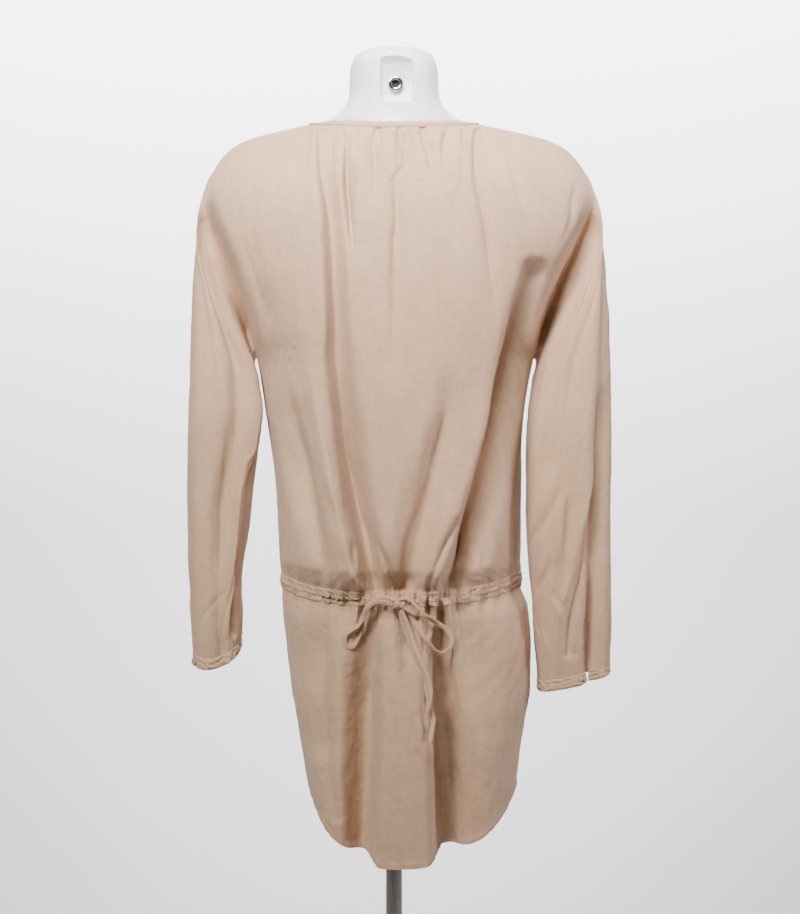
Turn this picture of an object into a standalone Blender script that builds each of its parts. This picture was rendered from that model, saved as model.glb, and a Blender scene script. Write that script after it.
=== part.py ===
"""A gathered, drawstring-waist shirt dress worn by a limbless dress form on a pole stand.

Metres, +Z up. The origin is the middle of the stand's foot, on the floor. The dress faces +Y, so its
back, with the drawstring's bow, faces -Y. Left and right in the names are the wearer's.
Each cloth piece is a thin wall: a row of section curves, from its top edge down, worked out from the
tables below, gives its outer face, and the inner face lies one cloth thickness further in.
"""
import math

import bmesh
import bpy
import numpy as np
from mathutils import Matrix, Vector
from mathutils.bvhtree import BVHTree

# Cloth and seams
CLOTH = 0.0012
BAND_CLOTH = 0.0016
SEAM_GAP = 0.0003
HEM_EXTRA = 0.0004

# Neck and shoulders
NECK_HALF = 0.097
NECK_DROP_BACK = 0.012
NECK_BACK_Y = -0.065
NECK_FRONT_Y = 0.078
NECK_FRONT_Z = 1.318
NECK_POINT_Z = 1.399
BAND_HEIGHT = 0.0065
ROUND_DEPTH = 0.095

# How much a deep fold raises the cloth in it, as a share of its depth
FOLD_LIFT = 0.17

# Waist casing, hem and front band
CASING_DEPTH = 0.015
CASING_CALM = 0.75
PLACKET_HALF = 0.0125
BUTTON_RADIUS = 0.0055
BUTTON_THICK = 0.0022
BUTTONS = 9
CUFF_DEPTH = 0.012

# Stand
FOOT_RADIUS = 0.155
FOOT_THICK = 0.007
POLE_RADIUS = 0.0095
FORM_BOTTOM = 0.930
# The socket's profile: radius and height above the foot plate
SOCKET_PROFILE = [(0.024, 0.0), (0.024, 0.008), (0.0145, 0.014), (0.0140, 0.030)]

# Drawstring
STRING = 0.0044

# The shoulder seam's height, against the share of its length from the neck point to the sleeve
SHOULDER_COLUMNS = ("share", "z")
SHOULDER_ROWS = [
    (0.00, 1.3990), (0.33, 1.3905), (0.53, 1.3845), (0.68, 1.3780),
    (0.80, 1.3690), (0.90, 1.3560), (1.00, 1.3370),
]

# Sections from the neck down: height at the middle and at the side edge, half widths on the wearer's
# left (-X) and right (+X), depth at the middle and at the side edge, and how square and round they are
SECTION_COLUMNS = ("mid_z", "side_z", "left", "right", "mid_y", "side_y", "square", "round")
BACK_BODICE_ROWS = [
    (1.3870, 1.3370, 0.2130, 0.2240, -0.0650, 0.0000, 2.6, 1.00),
    (1.3600, 1.3130, 0.2155, 0.2280, -0.0840, -0.0220, 2.8, 1.00),
    (1.3250, 1.2880, 0.2115, 0.2240, -0.1010, -0.0370, 3.0, 1.00),
    (1.2800, 1.2520, 0.1990, 0.2080, -0.1140, -0.0500, 3.0, 1.00),
    (1.2350, 1.2130, 0.1825, 0.1890, -0.1210, -0.0520, 3.0, 0.95),
    (1.1900, 1.1750, 0.1690, 0.1740, -0.1250, -0.0400, 2.8, 0.82),
    (1.1500, 1.1430, 0.1605, 0.1640, -0.1270, -0.0180, 2.6, 0.66),
    (1.1300, 1.1300, 0.1570, 0.1600, -0.1280, 0.0000, 2.5, 0.60),
    (1.0700, 1.0700, 0.1470, 0.1490, -0.1300, 0.0000, 2.4, 0.58),
    (0.9800, 0.9800, 0.1350, 0.1390, -0.1340, 0.0000, 2.4, 0.56),
    (0.9200, 0.9230, 0.1320, 0.1370, -0.1370, 0.0000, 2.4, 0.56),
    (0.8950, 0.9030, 0.1310, 0.1370, -0.1350, 0.0000, 2.4, 0.56),
    (0.8780, 0.8920, 0.1300, 0.1380, -0.1220, 0.0000, 2.4, 0.56),
    (0.8680, 0.8840, 0.1290, 0.1385, -0.1120, 0.0000, 2.4, 0.56),
    (0.8605, 0.8765, 0.1285, 0.1390, -0.1100, 0.0000, 2.4, 0.56),
]
BACK_SKIRT_ROWS = [
    (0.8605, 0.8765, 0.1285, 0.1390, -0.1100, 0.0000, 2.4, 0.56),
    (0.8530, 0.8690, 0.1285, 0.1400, -0.1110, 0.0000, 2.4, 0.56),
    (0.8300, 0.8450, 0.1280, 0.1510, -0.1170, 0.0000, 2.4, 0.56),
    (0.7800, 0.7980, 0.1225, 0.1570, -0.1230, 0.0000, 2.3, 0.55),
    (0.7350, 0.7560, 0.1180, 0.1565, -0.1250, 0.0000, 2.3, 0.55),
    (0.6900, 0.7160, 0.1110, 0.1505, -0.1260, 0.0000, 2.3, 0.55),
    (0.6400, 0.6790, 0.1050, 0.1445, -0.1260, 0.0000, 2.3, 0.55),
    (0.6000, 0.6560, 0.1010, 0.1420, -0.1250, 0.0000, 2.3, 0.55),
    (0.5670, 0.6400, 0.0965, 0.1400, -0.1240, 0.0000, 2.3, 0.55),
]
FRONT_BODICE_ROWS = [
    (1.3180, 1.3370, 0.2130, 0.2240, 0.0780, 0.0000, 2.4, 1.00),
    (1.3040, 1.3130, 0.2140, 0.2265, 0.0880, 0.0150, 2.6, 1.00),
    (1.2850, 1.2880, 0.2080, 0.2200, 0.0990, 0.0260, 2.8, 1.00),
    (1.2580, 1.2520, 0.1940, 0.2030, 0.1110, 0.0360, 2.8, 1.00),
    (1.2260, 1.2130, 0.1780, 0.1850, 0.1210, 0.0390, 2.8, 0.95),
    (1.1900, 1.1750, 0.1670, 0.1720, 0.1280, 0.0320, 2.6, 0.82),
    (1.1520, 1.1430, 0.1600, 0.1635, 0.1310, 0.0150, 2.4, 0.66),
    (1.1300, 1.1300, 0.1570, 0.1600, 0.1310, 0.0000, 2.3, 0.60),
    (1.0700, 1.0700, 0.1470, 0.1490, 0.1290, 0.0000, 2.2, 0.54),
    (0.9800, 0.9800, 0.1350, 0.1390, 0.1260, 0.0000, 2.2, 0.50),
    (0.9200, 0.9230, 0.1320, 0.1370, 0.1270, 0.0000, 2.2, 0.50),
    (0.8950, 0.9030, 0.1310, 0.1370, 0.1240, 0.0000, 2.2, 0.50),
    (0.8780, 0.8920, 0.1300, 0.1380, 0.1140, 0.0000, 2.2, 0.50),
    (0.8680, 0.8840, 0.1290, 0.1385, 0.1060, 0.0000, 2.2, 0.50),
    (0.8605, 0.8765, 0.1285, 0.1390, 0.1040, 0.0000, 2.2, 0.50),
]
FRONT_SKIRT_ROWS = [
    (0.8605, 0.8765, 0.1285, 0.1390, 0.1040, 0.0000, 2.2, 0.50),
    (0.8530, 0.8690, 0.1285, 0.1400, 0.1050, 0.0000, 2.2, 0.50),
    (0.8300, 0.8450, 0.1280, 0.1510, 0.1100, 0.0000, 2.2, 0.50),
    (0.7850, 0.7980, 0.1225, 0.1570, 0.1150, 0.0000, 2.2, 0.50),
    (0.7450, 0.7560, 0.1180, 0.1565, 0.1160, 0.0000, 2.2, 0.50),
    (0.7050, 0.7160, 0.1110, 0.1505, 0.1150, 0.0000, 2.2, 0.50),
    (0.6650, 0.6790, 0.1050, 0.1445, 0.1130, 0.0000, 2.2, 0.50),
    (0.6380, 0.6560, 0.1010, 0.1420, 0.1110, 0.0000, 2.2, 0.50),
    (0.6180, 0.6400, 0.0965, 0.1400, 0.1090, 0.0000, 2.2, 0.50),
]

# How far the front stands outside the side seams, which sit back from the dress's widest line
SIDE_SWELL_COLUMNS = ("z", "left", "right")
SIDE_SWELL_ROWS = [
    (1.130, 0.000, 0.000), (1.050, 0.000, 0.002), (0.980, 0.003, 0.009), (0.930, 0.005, 0.010),
    (0.890, 0.004, 0.006), (0.860, 0.000, 0.000), (0.600, 0.000, 0.000),
]

# Folds: the line that each follows down the cloth, how far it stands out (in, when negative) along
# it, and how wide it is on its -X and +X sides
FOLD_COLUMNS = (
    "x_top", "z_top", "x_mid", "z_mid", "x_low", "z_low",
    "out_top", "out_mid", "out_low", "minus_width", "plus_width",
)
BACK_BODICE_FOLDS = [
    (-0.084, 1.378, -0.073, 1.275, -0.067, 1.140, -0.003, -0.006, -0.010, 0.011, 0.010),
    (-0.067, 1.140, -0.054, 1.000, -0.026, 0.872, -0.010, -0.018, -0.018, 0.018, 0.011),
    (-0.093, 1.090, -0.074, 0.980, -0.046, 0.874, 0.003, 0.010, 0.012, 0.016, 0.014),
    (-0.115, 1.060, -0.101, 0.980, -0.074, 0.900, -0.003, -0.010, -0.004, 0.020, 0.016),
    (-0.055, 1.372, -0.049, 1.320, -0.048, 1.255, -0.003, -0.006, -0.001, 0.007, 0.007),
    (-0.023, 1.376, -0.024, 1.345, -0.024, 1.300, -0.004, -0.004, -0.001, 0.007, 0.007),
    (0.006, 1.376, 0.001, 1.290, -0.002, 1.130, -0.004, -0.006, -0.003, 0.012, 0.010),
    (0.036, 1.376, 0.042, 1.345, 0.044, 1.320, -0.004, -0.004, -0.001, 0.007, 0.007),
    (0.060, 1.376, 0.058, 1.345, 0.060, 1.310, -0.004, -0.004, -0.001, 0.007, 0.007),
    (0.091, 1.378, 0.104, 1.270, 0.113, 1.180, -0.004, -0.007, -0.002, 0.012, 0.011),
    (0.150, 1.215, 0.118, 1.080, 0.054, 0.874, -0.004, -0.020, -0.018, 0.016, 0.016),
    (0.126, 1.180, 0.088, 1.020, 0.038, 0.880, 0.003, 0.012, 0.010, 0.016, 0.012),
    (0.060, 1.080, 0.046, 1.010, 0.018, 0.880, -0.003, -0.010, -0.012, 0.015, 0.014),
    (0.020, 1.010, 0.010, 0.940, 0.002, 0.874, 0.000, -0.008, -0.010, 0.012, 0.012),
    (-0.010, 0.960, -0.006, 0.920, -0.002, 0.876, 0.002, 0.008, 0.010, 0.014, 0.014),
]
BACK_SKIRT_FOLDS = [
    (-0.0290, 0.838, -0.0440, 0.735, -0.0460, 0.560, -0.010, -0.040, -0.050, 0.0180, 0.0140),
    (0.0460, 0.838, 0.0510, 0.735, 0.0560, 0.560, -0.012, -0.048, -0.062, 0.0135, 0.0230),
    (0.082, 0.846, 0.094, 0.790, 0.108, 0.720, -0.004, -0.012, -0.003, 0.016, 0.018),
    (-0.080, 0.846, -0.090, 0.790, -0.092, 0.700, -0.002, -0.009, -0.002, 0.016, 0.016),
    (0.012, 0.846, 0.014, 0.810, 0.015, 0.770, -0.007, -0.009, -0.002, 0.010, 0.010),
]
FRONT_FOLDS = [
    (-0.070, 1.150, -0.068, 1.020, -0.050, 0.872, -0.002, -0.008, -0.008, 0.016, 0.016),
    (0.074, 1.150, 0.070, 1.020, 0.052, 0.872, -0.002, -0.008, -0.008, 0.016, 0.016),
    (-0.104, 1.080, -0.100, 0.980, -0.084, 0.872, 0.000, -0.007, -0.006, 0.015, 0.015),
    (0.108, 1.080, 0.104, 0.980, 0.088, 0.872, 0.000, -0.007, -0.006, 0.015, 0.015),
    (-0.060, 0.850, -0.064, 0.740, -0.062, 0.610, -0.004, -0.016, -0.020, 0.016, 0.016),
    (0.066, 0.850, 0.074, 0.740, 0.078, 0.610, -0.004, -0.018, -0.022, 0.017, 0.017),
]

# Gathers: small even waves that die away from a seam
NECK_GATHERS = 14
NECK_GATHER_OUT = 0.0034
NECK_GATHER_FADE = 0.045
WAIST_GATHER_LENGTH = 0.0155
WAIST_GATHER_OUT = 0.0034
WAIST_GATHER_FADE = 0.022
WAIST_GATHER_SPREAD = 0.075

# Sleeves: sections from just under the armhole to the cuff, with positions away from the middle
SLEEVE_COLUMNS = ("z", "near", "far", "back", "front")
LEFT_SLEEVE_ROWS = [
    (1.1000, 0.1555, 0.2345, -0.056, 0.058), (1.0700, 0.1515, 0.2362, -0.056, 0.058),
    (1.0200, 0.1570, 0.2375, -0.052, 0.056), (0.9400, 0.1665, 0.2375, -0.044, 0.052),
    (0.8700, 0.1755, 0.2348, -0.036, 0.046), (0.8400, 0.1740, 0.2330, -0.031, 0.042),
    (0.8150, 0.1760, 0.2310, -0.026, 0.038),
]
RIGHT_SLEEVE_ROWS = [
    (1.1000, 0.1585, 0.2490, -0.056, 0.060), (1.0700, 0.1540, 0.2500, -0.057, 0.060),
    (1.0200, 0.1515, 0.2498, -0.058, 0.060), (0.9400, 0.1520, 0.2486, -0.056, 0.054),
    (0.8700, 0.1580, 0.2490, -0.052, 0.044), (0.8200, 0.1615, 0.2495, -0.046, 0.038),
    (0.7850, 0.1650, 0.2475, -0.040, 0.034),
]
# Sleeve folds: the angle round the sleeve (0 away from the body, 90 at the back, 180 at the body)
SLEEVE_FOLD_COLUMNS = ("angle_top", "z_top", "angle_low", "z_low", "out", "minus_width", "plus_width")
LEFT_SLEEVE_FOLDS = [
    (124, 1.190, 112, 0.940, -0.0110, 22, 18), (152, 1.110, 152, 1.030, 0.0060, 16, 16),
    (66, 1.150, 78, 0.900, -0.0040, 18, 20), (98, 0.960, 104, 0.830, -0.0060, 16, 14),
    (250, 1.150, 255, 0.850, -0.0060, 22, 22), (300, 1.050, 295, 0.850, -0.0040, 18, 18),
]
RIGHT_SLEEVE_FOLDS = [
    (122, 1.200, 122, 1.020, -0.0090, 20, 18), (42, 1.060, 66, 0.800, -0.0170, 16, 13),
    (90, 1.150, 100, 0.900, -0.0050, 14, 14), (250, 1.150, 250, 0.850, -0.0060, 22, 22),
    (305, 1.050, 300, 0.830, -0.0040, 18, 18),
]
SLEEVE_SIDES = {"left": -1, "right": 1}
# How the cuffs hang: fall from the far to the near side and from the front to the back
CUFF_TILT = {"left": (-0.014, 0.036), "right": (0.020, 0.006)}
SLEEVE_END = {"left": 0.8150, "right": 0.7850}
SLIT_ANGLE = {"left": 24.0, "right": 66.0}
SLIT_HALF_ANGLE = 5.0

# Dress form: height, half width, depth at the back and at the front, and how pointed its outline is
# towards the shoulders, where 0.5 gives an ellipse
FORM_COLUMNS = ("z", "half", "back", "front", "pointed")
FORM_ROWS = [
    (0.930, 0.108, -0.068, 0.080, 0.5), (0.945, 0.116, -0.076, 0.088, 0.5),
    (0.990, 0.114, -0.078, 0.090, 0.5), (1.040, 0.120, -0.088, 0.096, 0.5),
    (1.100, 0.134, -0.100, 0.108, 0.5), (1.150, 0.145, -0.108, 0.115, 0.5),
    (1.190, 0.154, -0.110, 0.115, 0.5), (1.235, 0.170, -0.109, 0.107, 0.5),
    (1.275, 0.188, -0.105, 0.090, 0.5), (1.310, 0.204, -0.096, 0.071, 0.5),
    (1.335, 0.206, -0.086, 0.059, 0.6), (1.355, 0.196, -0.077, 0.051, 0.8),
    (1.368, 0.180, -0.070, 0.047, 1.4), (1.378, 0.158, -0.063, 0.045, 1.8),
    (1.388, 0.124, -0.057, 0.044, 1.9), (1.3955, 0.099, -0.054, 0.044, 1.5),
    (1.402, 0.080, -0.052, 0.046, 0.8), (1.410, 0.067, -0.051, 0.048, 0.6),
    (1.419, 0.057, -0.051, 0.050, 0.5), (1.432, 0.052, -0.051, 0.052, 0.5),
    (1.460, 0.0503, -0.051, 0.052, 0.5), (1.475, 0.046, -0.046, 0.047, 0.5),
    (1.482, 0.037, -0.037, 0.038, 0.5), (1.485, 0.022, -0.022, 0.023, 0.5),
]
NECK_FOOT = 1.400
FORM_CLEAR = {"shoulder": 0.0007, "elsewhere": 0.0050}
NICHE = {"x": 0.003, "half": 0.0185, "low": 1.417, "high": 1.466, "depth": 0.014}
EYELET = {"x": 0.002, "z": 1.439, "outer": 0.0085, "hole": 0.0050, "length": 0.0050, "blind": 0.0030}

# Materials: colour, roughness and metallic value
COTTON = ("beige cotton", (0.62, 0.50, 0.40), 0.92, 0.0)
BUTTON_SHELL = ("button", (0.55, 0.46, 0.38), 0.45, 0.0)
FORM_PLASTIC = ("white form plastic", (0.86, 0.85, 0.86), 0.55, 0.0)
STEEL = ("brushed steel", (0.45, 0.41, 0.37), 0.35, 1.0)


def columns(names, rows):
    """A table as one array for each named column."""
    return {name: np.array(values, float) for name, values in zip(names, zip(*rows))}


def smooth(at, places, values):
    """A smooth curve through a table's values, which never swings past them."""
    places, values = np.asarray(places, float), np.asarray(values, float)
    if places[0] > places[-1]:
        places, values = places[::-1], values[::-1]
    step = np.diff(places)
    slope = np.diff(values) / step
    bend = np.concatenate([[slope[0]], np.zeros(len(values) - 2), [slope[-1]]])
    before, after = slope[:-1], slope[1:]
    same_way = before * after > 0
    total = np.where(same_way, before + after, 1.0)
    bend[1:-1] = np.where(same_way, 2 * before * after / total, 0.0)
    at = np.clip(np.asarray(at, float), places[0], places[-1])
    k = np.clip(np.searchsorted(places, at) - 1, 0, len(step) - 1)
    t = (at - places[k]) / step[k]
    start = (1 + 2 * t) * (1 - t) ** 2 * values[k] + t * (1 - t) ** 2 * step[k] * bend[k]
    return start + t * t * (3 - 2 * t) * values[k + 1] - t * t * (1 - t) * step[k] * bend[k + 1]


def ease(value):
    """A smooth step from 0 to 1."""
    t = np.clip(value, 0.0, 1.0)
    return t * t * (3 - 2 * t)


def unit(vectors):
    return vectors / np.maximum(np.linalg.norm(vectors, axis=-1, keepdims=True), 1e-12)


def fold_out(folds, x, z):
    """How far the folds move points at x and z, outwards when positive."""
    table = columns(FOLD_COLUMNS, folds)
    moved = np.zeros_like(x)
    fade = 0.030
    for k in range(len(folds)):
        f = {name: table[name][k] for name in FOLD_COLUMNS}
        heights = (f["z_top"], f["z_mid"], f["z_low"])
        line = smooth(z, heights, (f["x_top"], f["x_mid"], f["x_low"]))
        out = smooth(z, heights, (f["out_top"], f["out_mid"], f["out_low"]))
        out = out * ease((f["z_top"] + fade - z) / fade) * ease((z - f["z_low"] + fade) / fade)
        width = np.where(x < line, f["minus_width"], f["plus_width"])
        moved += out * np.exp(-np.abs((x - line) / width) ** 2.2)
    return moved


def neck_gathers(x, z, top):
    """Waves just under the neckband, which only stand out, so that the cloth stays off the form."""
    share = x / NECK_HALF
    wave = 0.5 + 0.5 * np.cos(math.pi * NECK_GATHERS * (share + 0.06 * np.sin(5 * share)))
    uneven = 0.7 + 0.3 * np.sin(11 * share + 1)
    below = top - z
    fade = ease(below / 0.010) * np.exp(-np.maximum(below - 0.010, 0) / NECK_GATHER_FADE)
    return NECK_GATHER_OUT * wave * uneven * fade * ease((1.12 - np.abs(share)) / 0.15)


def waist_gathers(x, z, waist, middle):
    """Waves either side of the casing, deepest by the bow at the middle."""
    wave = np.cos(2 * math.pi * (x - middle) / WAIST_GATHER_LENGTH + 0.8 * np.sin(30 * x))
    near = 0.35 + 0.65 * np.exp(-((x - middle) / WAIST_GATHER_SPREAD) ** 2)
    return WAIST_GATHER_OUT * near * wave * np.exp(-np.abs(z - waist) / WAIST_GATHER_FADE)


def neckline(x, facing):
    """Depth and height of the top edge of a panel at x: the neckline, then the shoulder seam."""
    share = np.clip(np.abs(x) / NECK_HALF, 0, 1)
    arc = np.sqrt(1 - share**2)
    if facing < 0:
        y, z = NECK_BACK_Y * arc, NECK_POINT_Z - NECK_DROP_BACK * arc
    else:
        y, z = NECK_FRONT_Y * arc**0.75, NECK_POINT_Z - (NECK_POINT_Z - NECK_FRONT_Z) * arc**1.1
    return y, z


def top_edge(x, half, facing):
    """Depth and height of the whole top edge, from sleeve to sleeve."""
    y, z = neckline(x, facing)
    along = np.clip((np.abs(x) - NECK_HALF) / (half - NECK_HALF), 0, 1)
    seam = columns(SHOULDER_COLUMNS, SHOULDER_ROWS)
    return y, np.where(np.abs(x) > NECK_HALF, smooth(along, seam["share"], seam["z"]), z)


def section(rows, facing, level, folds, has_neck):
    """The dense curve of a panel at one level, from its -X edge to its +X edge."""
    table = columns(SECTION_COLUMNS, rows)
    at = {name: smooth(level, table["mid_z"], table[name]) for name in SECTION_COLUMNS}
    u = np.sin(np.linspace(-math.pi / 2, math.pi / 2, 721))
    u = np.sort(np.append(u, [-NECK_HALF / table["left"][0], NECK_HALF / table["right"][0]]))
    half = np.where(u < 0, at["left"], at["right"])
    x = u * half
    arch = (1 - np.abs(u) ** at["square"]) ** at["round"]
    y = at["side_y"] + (at["mid_y"] - at["side_y"]) * arch
    z = at["side_z"] + (at["mid_z"] - at["side_z"]) * (1 - np.abs(u) ** 3)
    if has_neck:
        first = {name: table[name][0] for name in SECTION_COLUMNS}
        first_half = np.where(u < 0, first["left"], first["right"])
        arch_first = (1 - np.abs(u) ** first["square"]) ** first["round"]
        base_y = first["side_y"] + (first["mid_y"] - first["side_y"]) * arch_first
        base_z = first["side_z"] + (first["mid_z"] - first["side_z"]) * (1 - np.abs(u) ** 3)
        true_y, true_z = top_edge(u * first_half, first_half, facing)
        down = np.clip((first["mid_z"] - level) / ROUND_DEPTH, 0, 1)
        y = y + (1 - math.sqrt(1 - (1 - down) ** 2)) * (true_y - base_y)
        z = z + (1 - down) ** 1.5 * (true_z - base_z)
    swell = columns(SIDE_SWELL_COLUMNS, SIDE_SWELL_ROWS)
    if facing > 0:
        side = np.where(u < 0, smooth(z, swell["z"], swell["left"]), smooth(z, swell["z"], swell["right"]))
        x = x + np.sign(u) * side * np.sin(math.pi * np.clip(arch, 0, 1))
    across = np.gradient(np.stack([x, y], axis=1), axis=0)
    normal = unit(np.stack([across[:, 1], -across[:, 0]], axis=1)) * -facing
    normal = unit(normal * np.stack([ease((np.abs(u) - 0.45) / 0.4), np.ones_like(u)], axis=1))
    out = fold_out(folds, x, z)
    waist = at["side_z"] + (at["mid_z"] - at["side_z"]) * (1 - np.abs(u) ** 3)
    casing = 0.8765 + (0.8605 - 0.8765) * (1 - np.abs(u) ** 3)
    sides = ease((1 - np.abs(u)) / 0.12)
    middle = ease((np.abs(x) - PLACKET_HALF) / 0.012) if facing > 0 else 1.0
    out = out * (1 - CASING_CALM * np.exp(-((waist - casing) / CASING_DEPTH) ** 2))
    out = out + waist_gathers(x, waist, casing, 0.002) * (1.0 if facing < 0 else 0.6)
    if has_neck and facing < 0:
        top = top_edge(x, half, facing)[1]
        out = out * ease((top - z) / 0.012) + neck_gathers(x, z, top)
    out = out * sides * middle
    lift = -FOLD_LIFT * np.minimum(out, 0) * (0 if has_neck else 1)
    return np.stack([x + normal[:, 0] * out, y + normal[:, 1] * out, z + lift], axis=1)


def spread(curve, stops, counts):
    """A curve as even steps along it between stops, which are values of X that it passes."""
    along = np.concatenate([[0], np.cumsum(np.linalg.norm(np.diff(curve, axis=0), axis=1))])
    ends = [0.0] + [float(np.interp(s, curve[:, 0], along)) for s in stops] + [along[-1]]
    places = [np.linspace(a, b, n + 1)[:-1] for a, b, n in zip(ends, ends[1:], counts)]
    at = np.concatenate(places + [[along[-1]]])
    return np.stack([np.interp(at, along, curve[:, k]) for k in range(3)], axis=1)


def share_along(row):
    """Each point's share of its row, by count, which matches points of rows of unlike lengths."""
    return np.linspace(0, 1, len(row))


def normals(rows, closed, outward):
    """The outward normal at every point of a set of rows."""
    found = []
    for k, row in enumerate(rows):
        above, below = rows[max(k - 1, 0)], rows[min(k + 1, len(rows) - 1)]
        at = share_along(row)
        down = np.stack([
            np.interp(at, share_along(below), below[:, c]) - np.interp(at, share_along(above), above[:, c])
            for c in range(3)
        ], axis=1)
        if closed:
            across = np.roll(row, -1, axis=0) - np.roll(row, 1, axis=0)
            down = (below - above) if len(below) == len(above) == len(row) else down
        else:
            across = np.gradient(row, axis=0)
        found.append(unit(np.cross(down, across)) * outward)
    return found


def zip_rows(upper, lower, closed):
    """Triangles between two rows of point numbers, which may differ in length."""
    upper, lower = list(upper), list(lower)
    if closed:
        upper, lower = upper + upper[:1], lower + lower[:1]
    n, m = len(upper) - 1, len(lower) - 1
    i = j = 0
    made = []
    while i < n or j < m:
        if j >= m or (i < n and (i + 1) / n <= (j + 1) / m):
            made.append((upper[i], lower[j], upper[i + 1]))
            i += 1
        else:
            made.append((upper[i], lower[j], lower[j + 1]))
            j += 1
    return made


def wall(name, outer, inner, finish, closed=False, flip=False):
    """A closed solid between an outer and an inner set of rows."""
    points = np.concatenate(outer + inner)
    starts = np.cumsum([0] + [len(r) for r in outer + inner])
    numbers = [range(starts[k], starts[k + 1]) for k in range(len(outer + inner))]
    out_rows, in_rows = numbers[: len(outer)], numbers[len(outer):]
    faces = []
    for a, b in zip(out_rows, out_rows[1:]):
        faces += zip_rows(a, b, closed)
    for a, b in zip(in_rows, in_rows[1:]):
        faces += [(p, r, q) for p, q, r in zip_rows(a, b, closed)]
    faces += [(p, r, q) for p, q, r in zip_rows(out_rows[0], in_rows[0], closed)]
    faces += zip_rows(out_rows[-1], in_rows[-1], closed)
    if not closed:
        first = zip_rows([r[0] for r in out_rows], [r[0] for r in in_rows], False)
        last = zip_rows([r[-1] for r in out_rows], [r[-1] for r in in_rows], False)
        faces += first + [(p, r, q) for p, q, r in last]
    if flip:
        faces = [(p, r, q) for p, q, r in faces]
    return mesh_object(name, points, faces, finish)


def material(finish):
    name, colour, roughness, metallic = finish
    found = bpy.data.materials.get(name)
    if found:
        return found
    made = bpy.data.materials.new(name)
    made.use_nodes = True
    shader = made.node_tree.nodes["Principled BSDF"]
    shader.inputs["Base Color"].default_value = (*colour, 1.0)
    shader.inputs["Roughness"].default_value = roughness
    shader.inputs["Metallic"].default_value = metallic
    made.diffuse_color = (*colour, 1.0)
    return made


def mesh_object(name, points, faces, finish):
    mesh = bpy.data.meshes.new(name)
    mesh.from_pydata([tuple(p) for p in points], [], faces)
    mesh.materials.append(material(finish))
    mesh.shade_smooth()
    mesh.set_sharp_from_angle(angle=math.radians(45))
    made = bpy.data.objects.new(name, mesh)
    bpy.context.scene.collection.objects.link(made)
    return made


def bmesh_object(name, shape, finish):
    mesh = bpy.data.meshes.new(name)
    shape.to_mesh(mesh)
    shape.free()
    mesh.materials.append(material(finish))
    mesh.shade_smooth()
    mesh.set_sharp_from_angle(angle=math.radians(40))
    made = bpy.data.objects.new(name, mesh)
    bpy.context.scene.collection.objects.link(made)
    return made


# Levels: the height at the middle of each row, and its number of steps between the lines below
GATHERED = (5, 12, 12, 12, 12, 5)
UNDER_GATHERS = (4, 10, 10, 10, 10, 4)
PLAIN = (4, 7, 7, 7, 7, 4)
ABOVE_WAIST = (4, 8, 8, 8, 8, 4)
AT_WAIST = (6, 10, 10, 10, 10, 6)
BACK_BODICE_LEVELS = [
    (1.3870, GATHERED), (1.3840, GATHERED), (1.3780, GATHERED), (1.3690, GATHERED),
    (1.3560, UNDER_GATHERS), (1.3370, PLAIN), (1.3100, PLAIN), (1.2780, PLAIN), (1.2450, PLAIN),
    (1.2100, PLAIN), (1.1700, PLAIN), (1.1300, PLAIN), (1.0800, PLAIN), (1.0300, PLAIN),
    (0.9850, ABOVE_WAIST), (0.9450, ABOVE_WAIST), (0.9150, (5, 9, 9, 9, 9, 5)), (0.8950, AT_WAIST),
    (0.8790, AT_WAIST), (0.8680, AT_WAIST), (0.8605, AT_WAIST),
]
SKIRT_HEIGHTS = (
    0.8605, 0.8530, 0.8420, 0.8250, 0.8000, 0.7650, 0.7250, 0.6800, 0.6350, 0.6000, 0.5760, 0.5670,
)
BACK_SKIRT_LEVELS = [(height, (5, 6, 6, 7, 6, 7, 5)) for height in SKIRT_HEIGHTS]
# Lines that the mesh's columns follow: their names, and where each lies at some heights
BODICE_LINES = (
    ("z", "minus_edge", "minus_fold", "middle", "plus_fold", "plus_edge"),
    [
        (1.387, -NECK_HALF, -0.0600, 0.0030, 0.0660, NECK_HALF),
        (1.275, -0.1200, -0.0730, 0.0010, 0.0850, 0.1250),
        (1.140, -0.1180, -0.0670, -0.0020, 0.1120, 0.1400),
        (1.080, -0.1130, -0.0620, -0.0040, 0.1160, 0.1360),
        (0.980, -0.1050, -0.0500, -0.0060, 0.0900, 0.1170),
        (0.860, -0.0900, -0.0240, 0.0050, 0.0500, 0.0950),
    ],
)
SKIRT_LINES = (
    ("z", "minus_side", "minus_valley", "ridge_minus", "ridge_plus", "plus_valley", "plus_side"),
    [
        (0.860, -0.0720, -0.0290, -0.0100, 0.0240, 0.0460, 0.0800),
        (0.735, -0.0720, -0.0440, -0.0240, 0.0280, 0.0510, 0.0860),
        (0.560, -0.0720, -0.0460, -0.0260, 0.0320, 0.0560, 0.0900),
    ],
)
FRONT_BODICE_LEVELS = [1.3180, 1.3155, 1.3100, 1.3010, 1.2870, 1.2700, 1.2500, 1.2300, 1.2060, 1.1800, 1.1550,
                       1.1300, 1.0850, 1.0300, 0.9800, 0.9400, 0.9120, 0.8930, 0.8780, 0.8680, 0.8605]
FRONT_SKIRT_LEVELS = [0.8605, 0.8530, 0.8420, 0.8200, 0.7800, 0.7350, 0.6850, 0.6450, 0.6270, 0.6180]
ARMHOLE_ROWS = 12


def back_rows(rows, levels, lines, folds, has_neck):
    """The back's rows, with its columns along the named lines, the first of which is the height."""
    names, places = lines
    table = columns(names, places)
    made = []
    for level, counts in levels:
        stops = [float(smooth(level, table["z"], table[name])) for name in names[1:]]
        made.append(spread(section(rows, -1, level, folds, has_neck), stops, counts))
    return made


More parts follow.
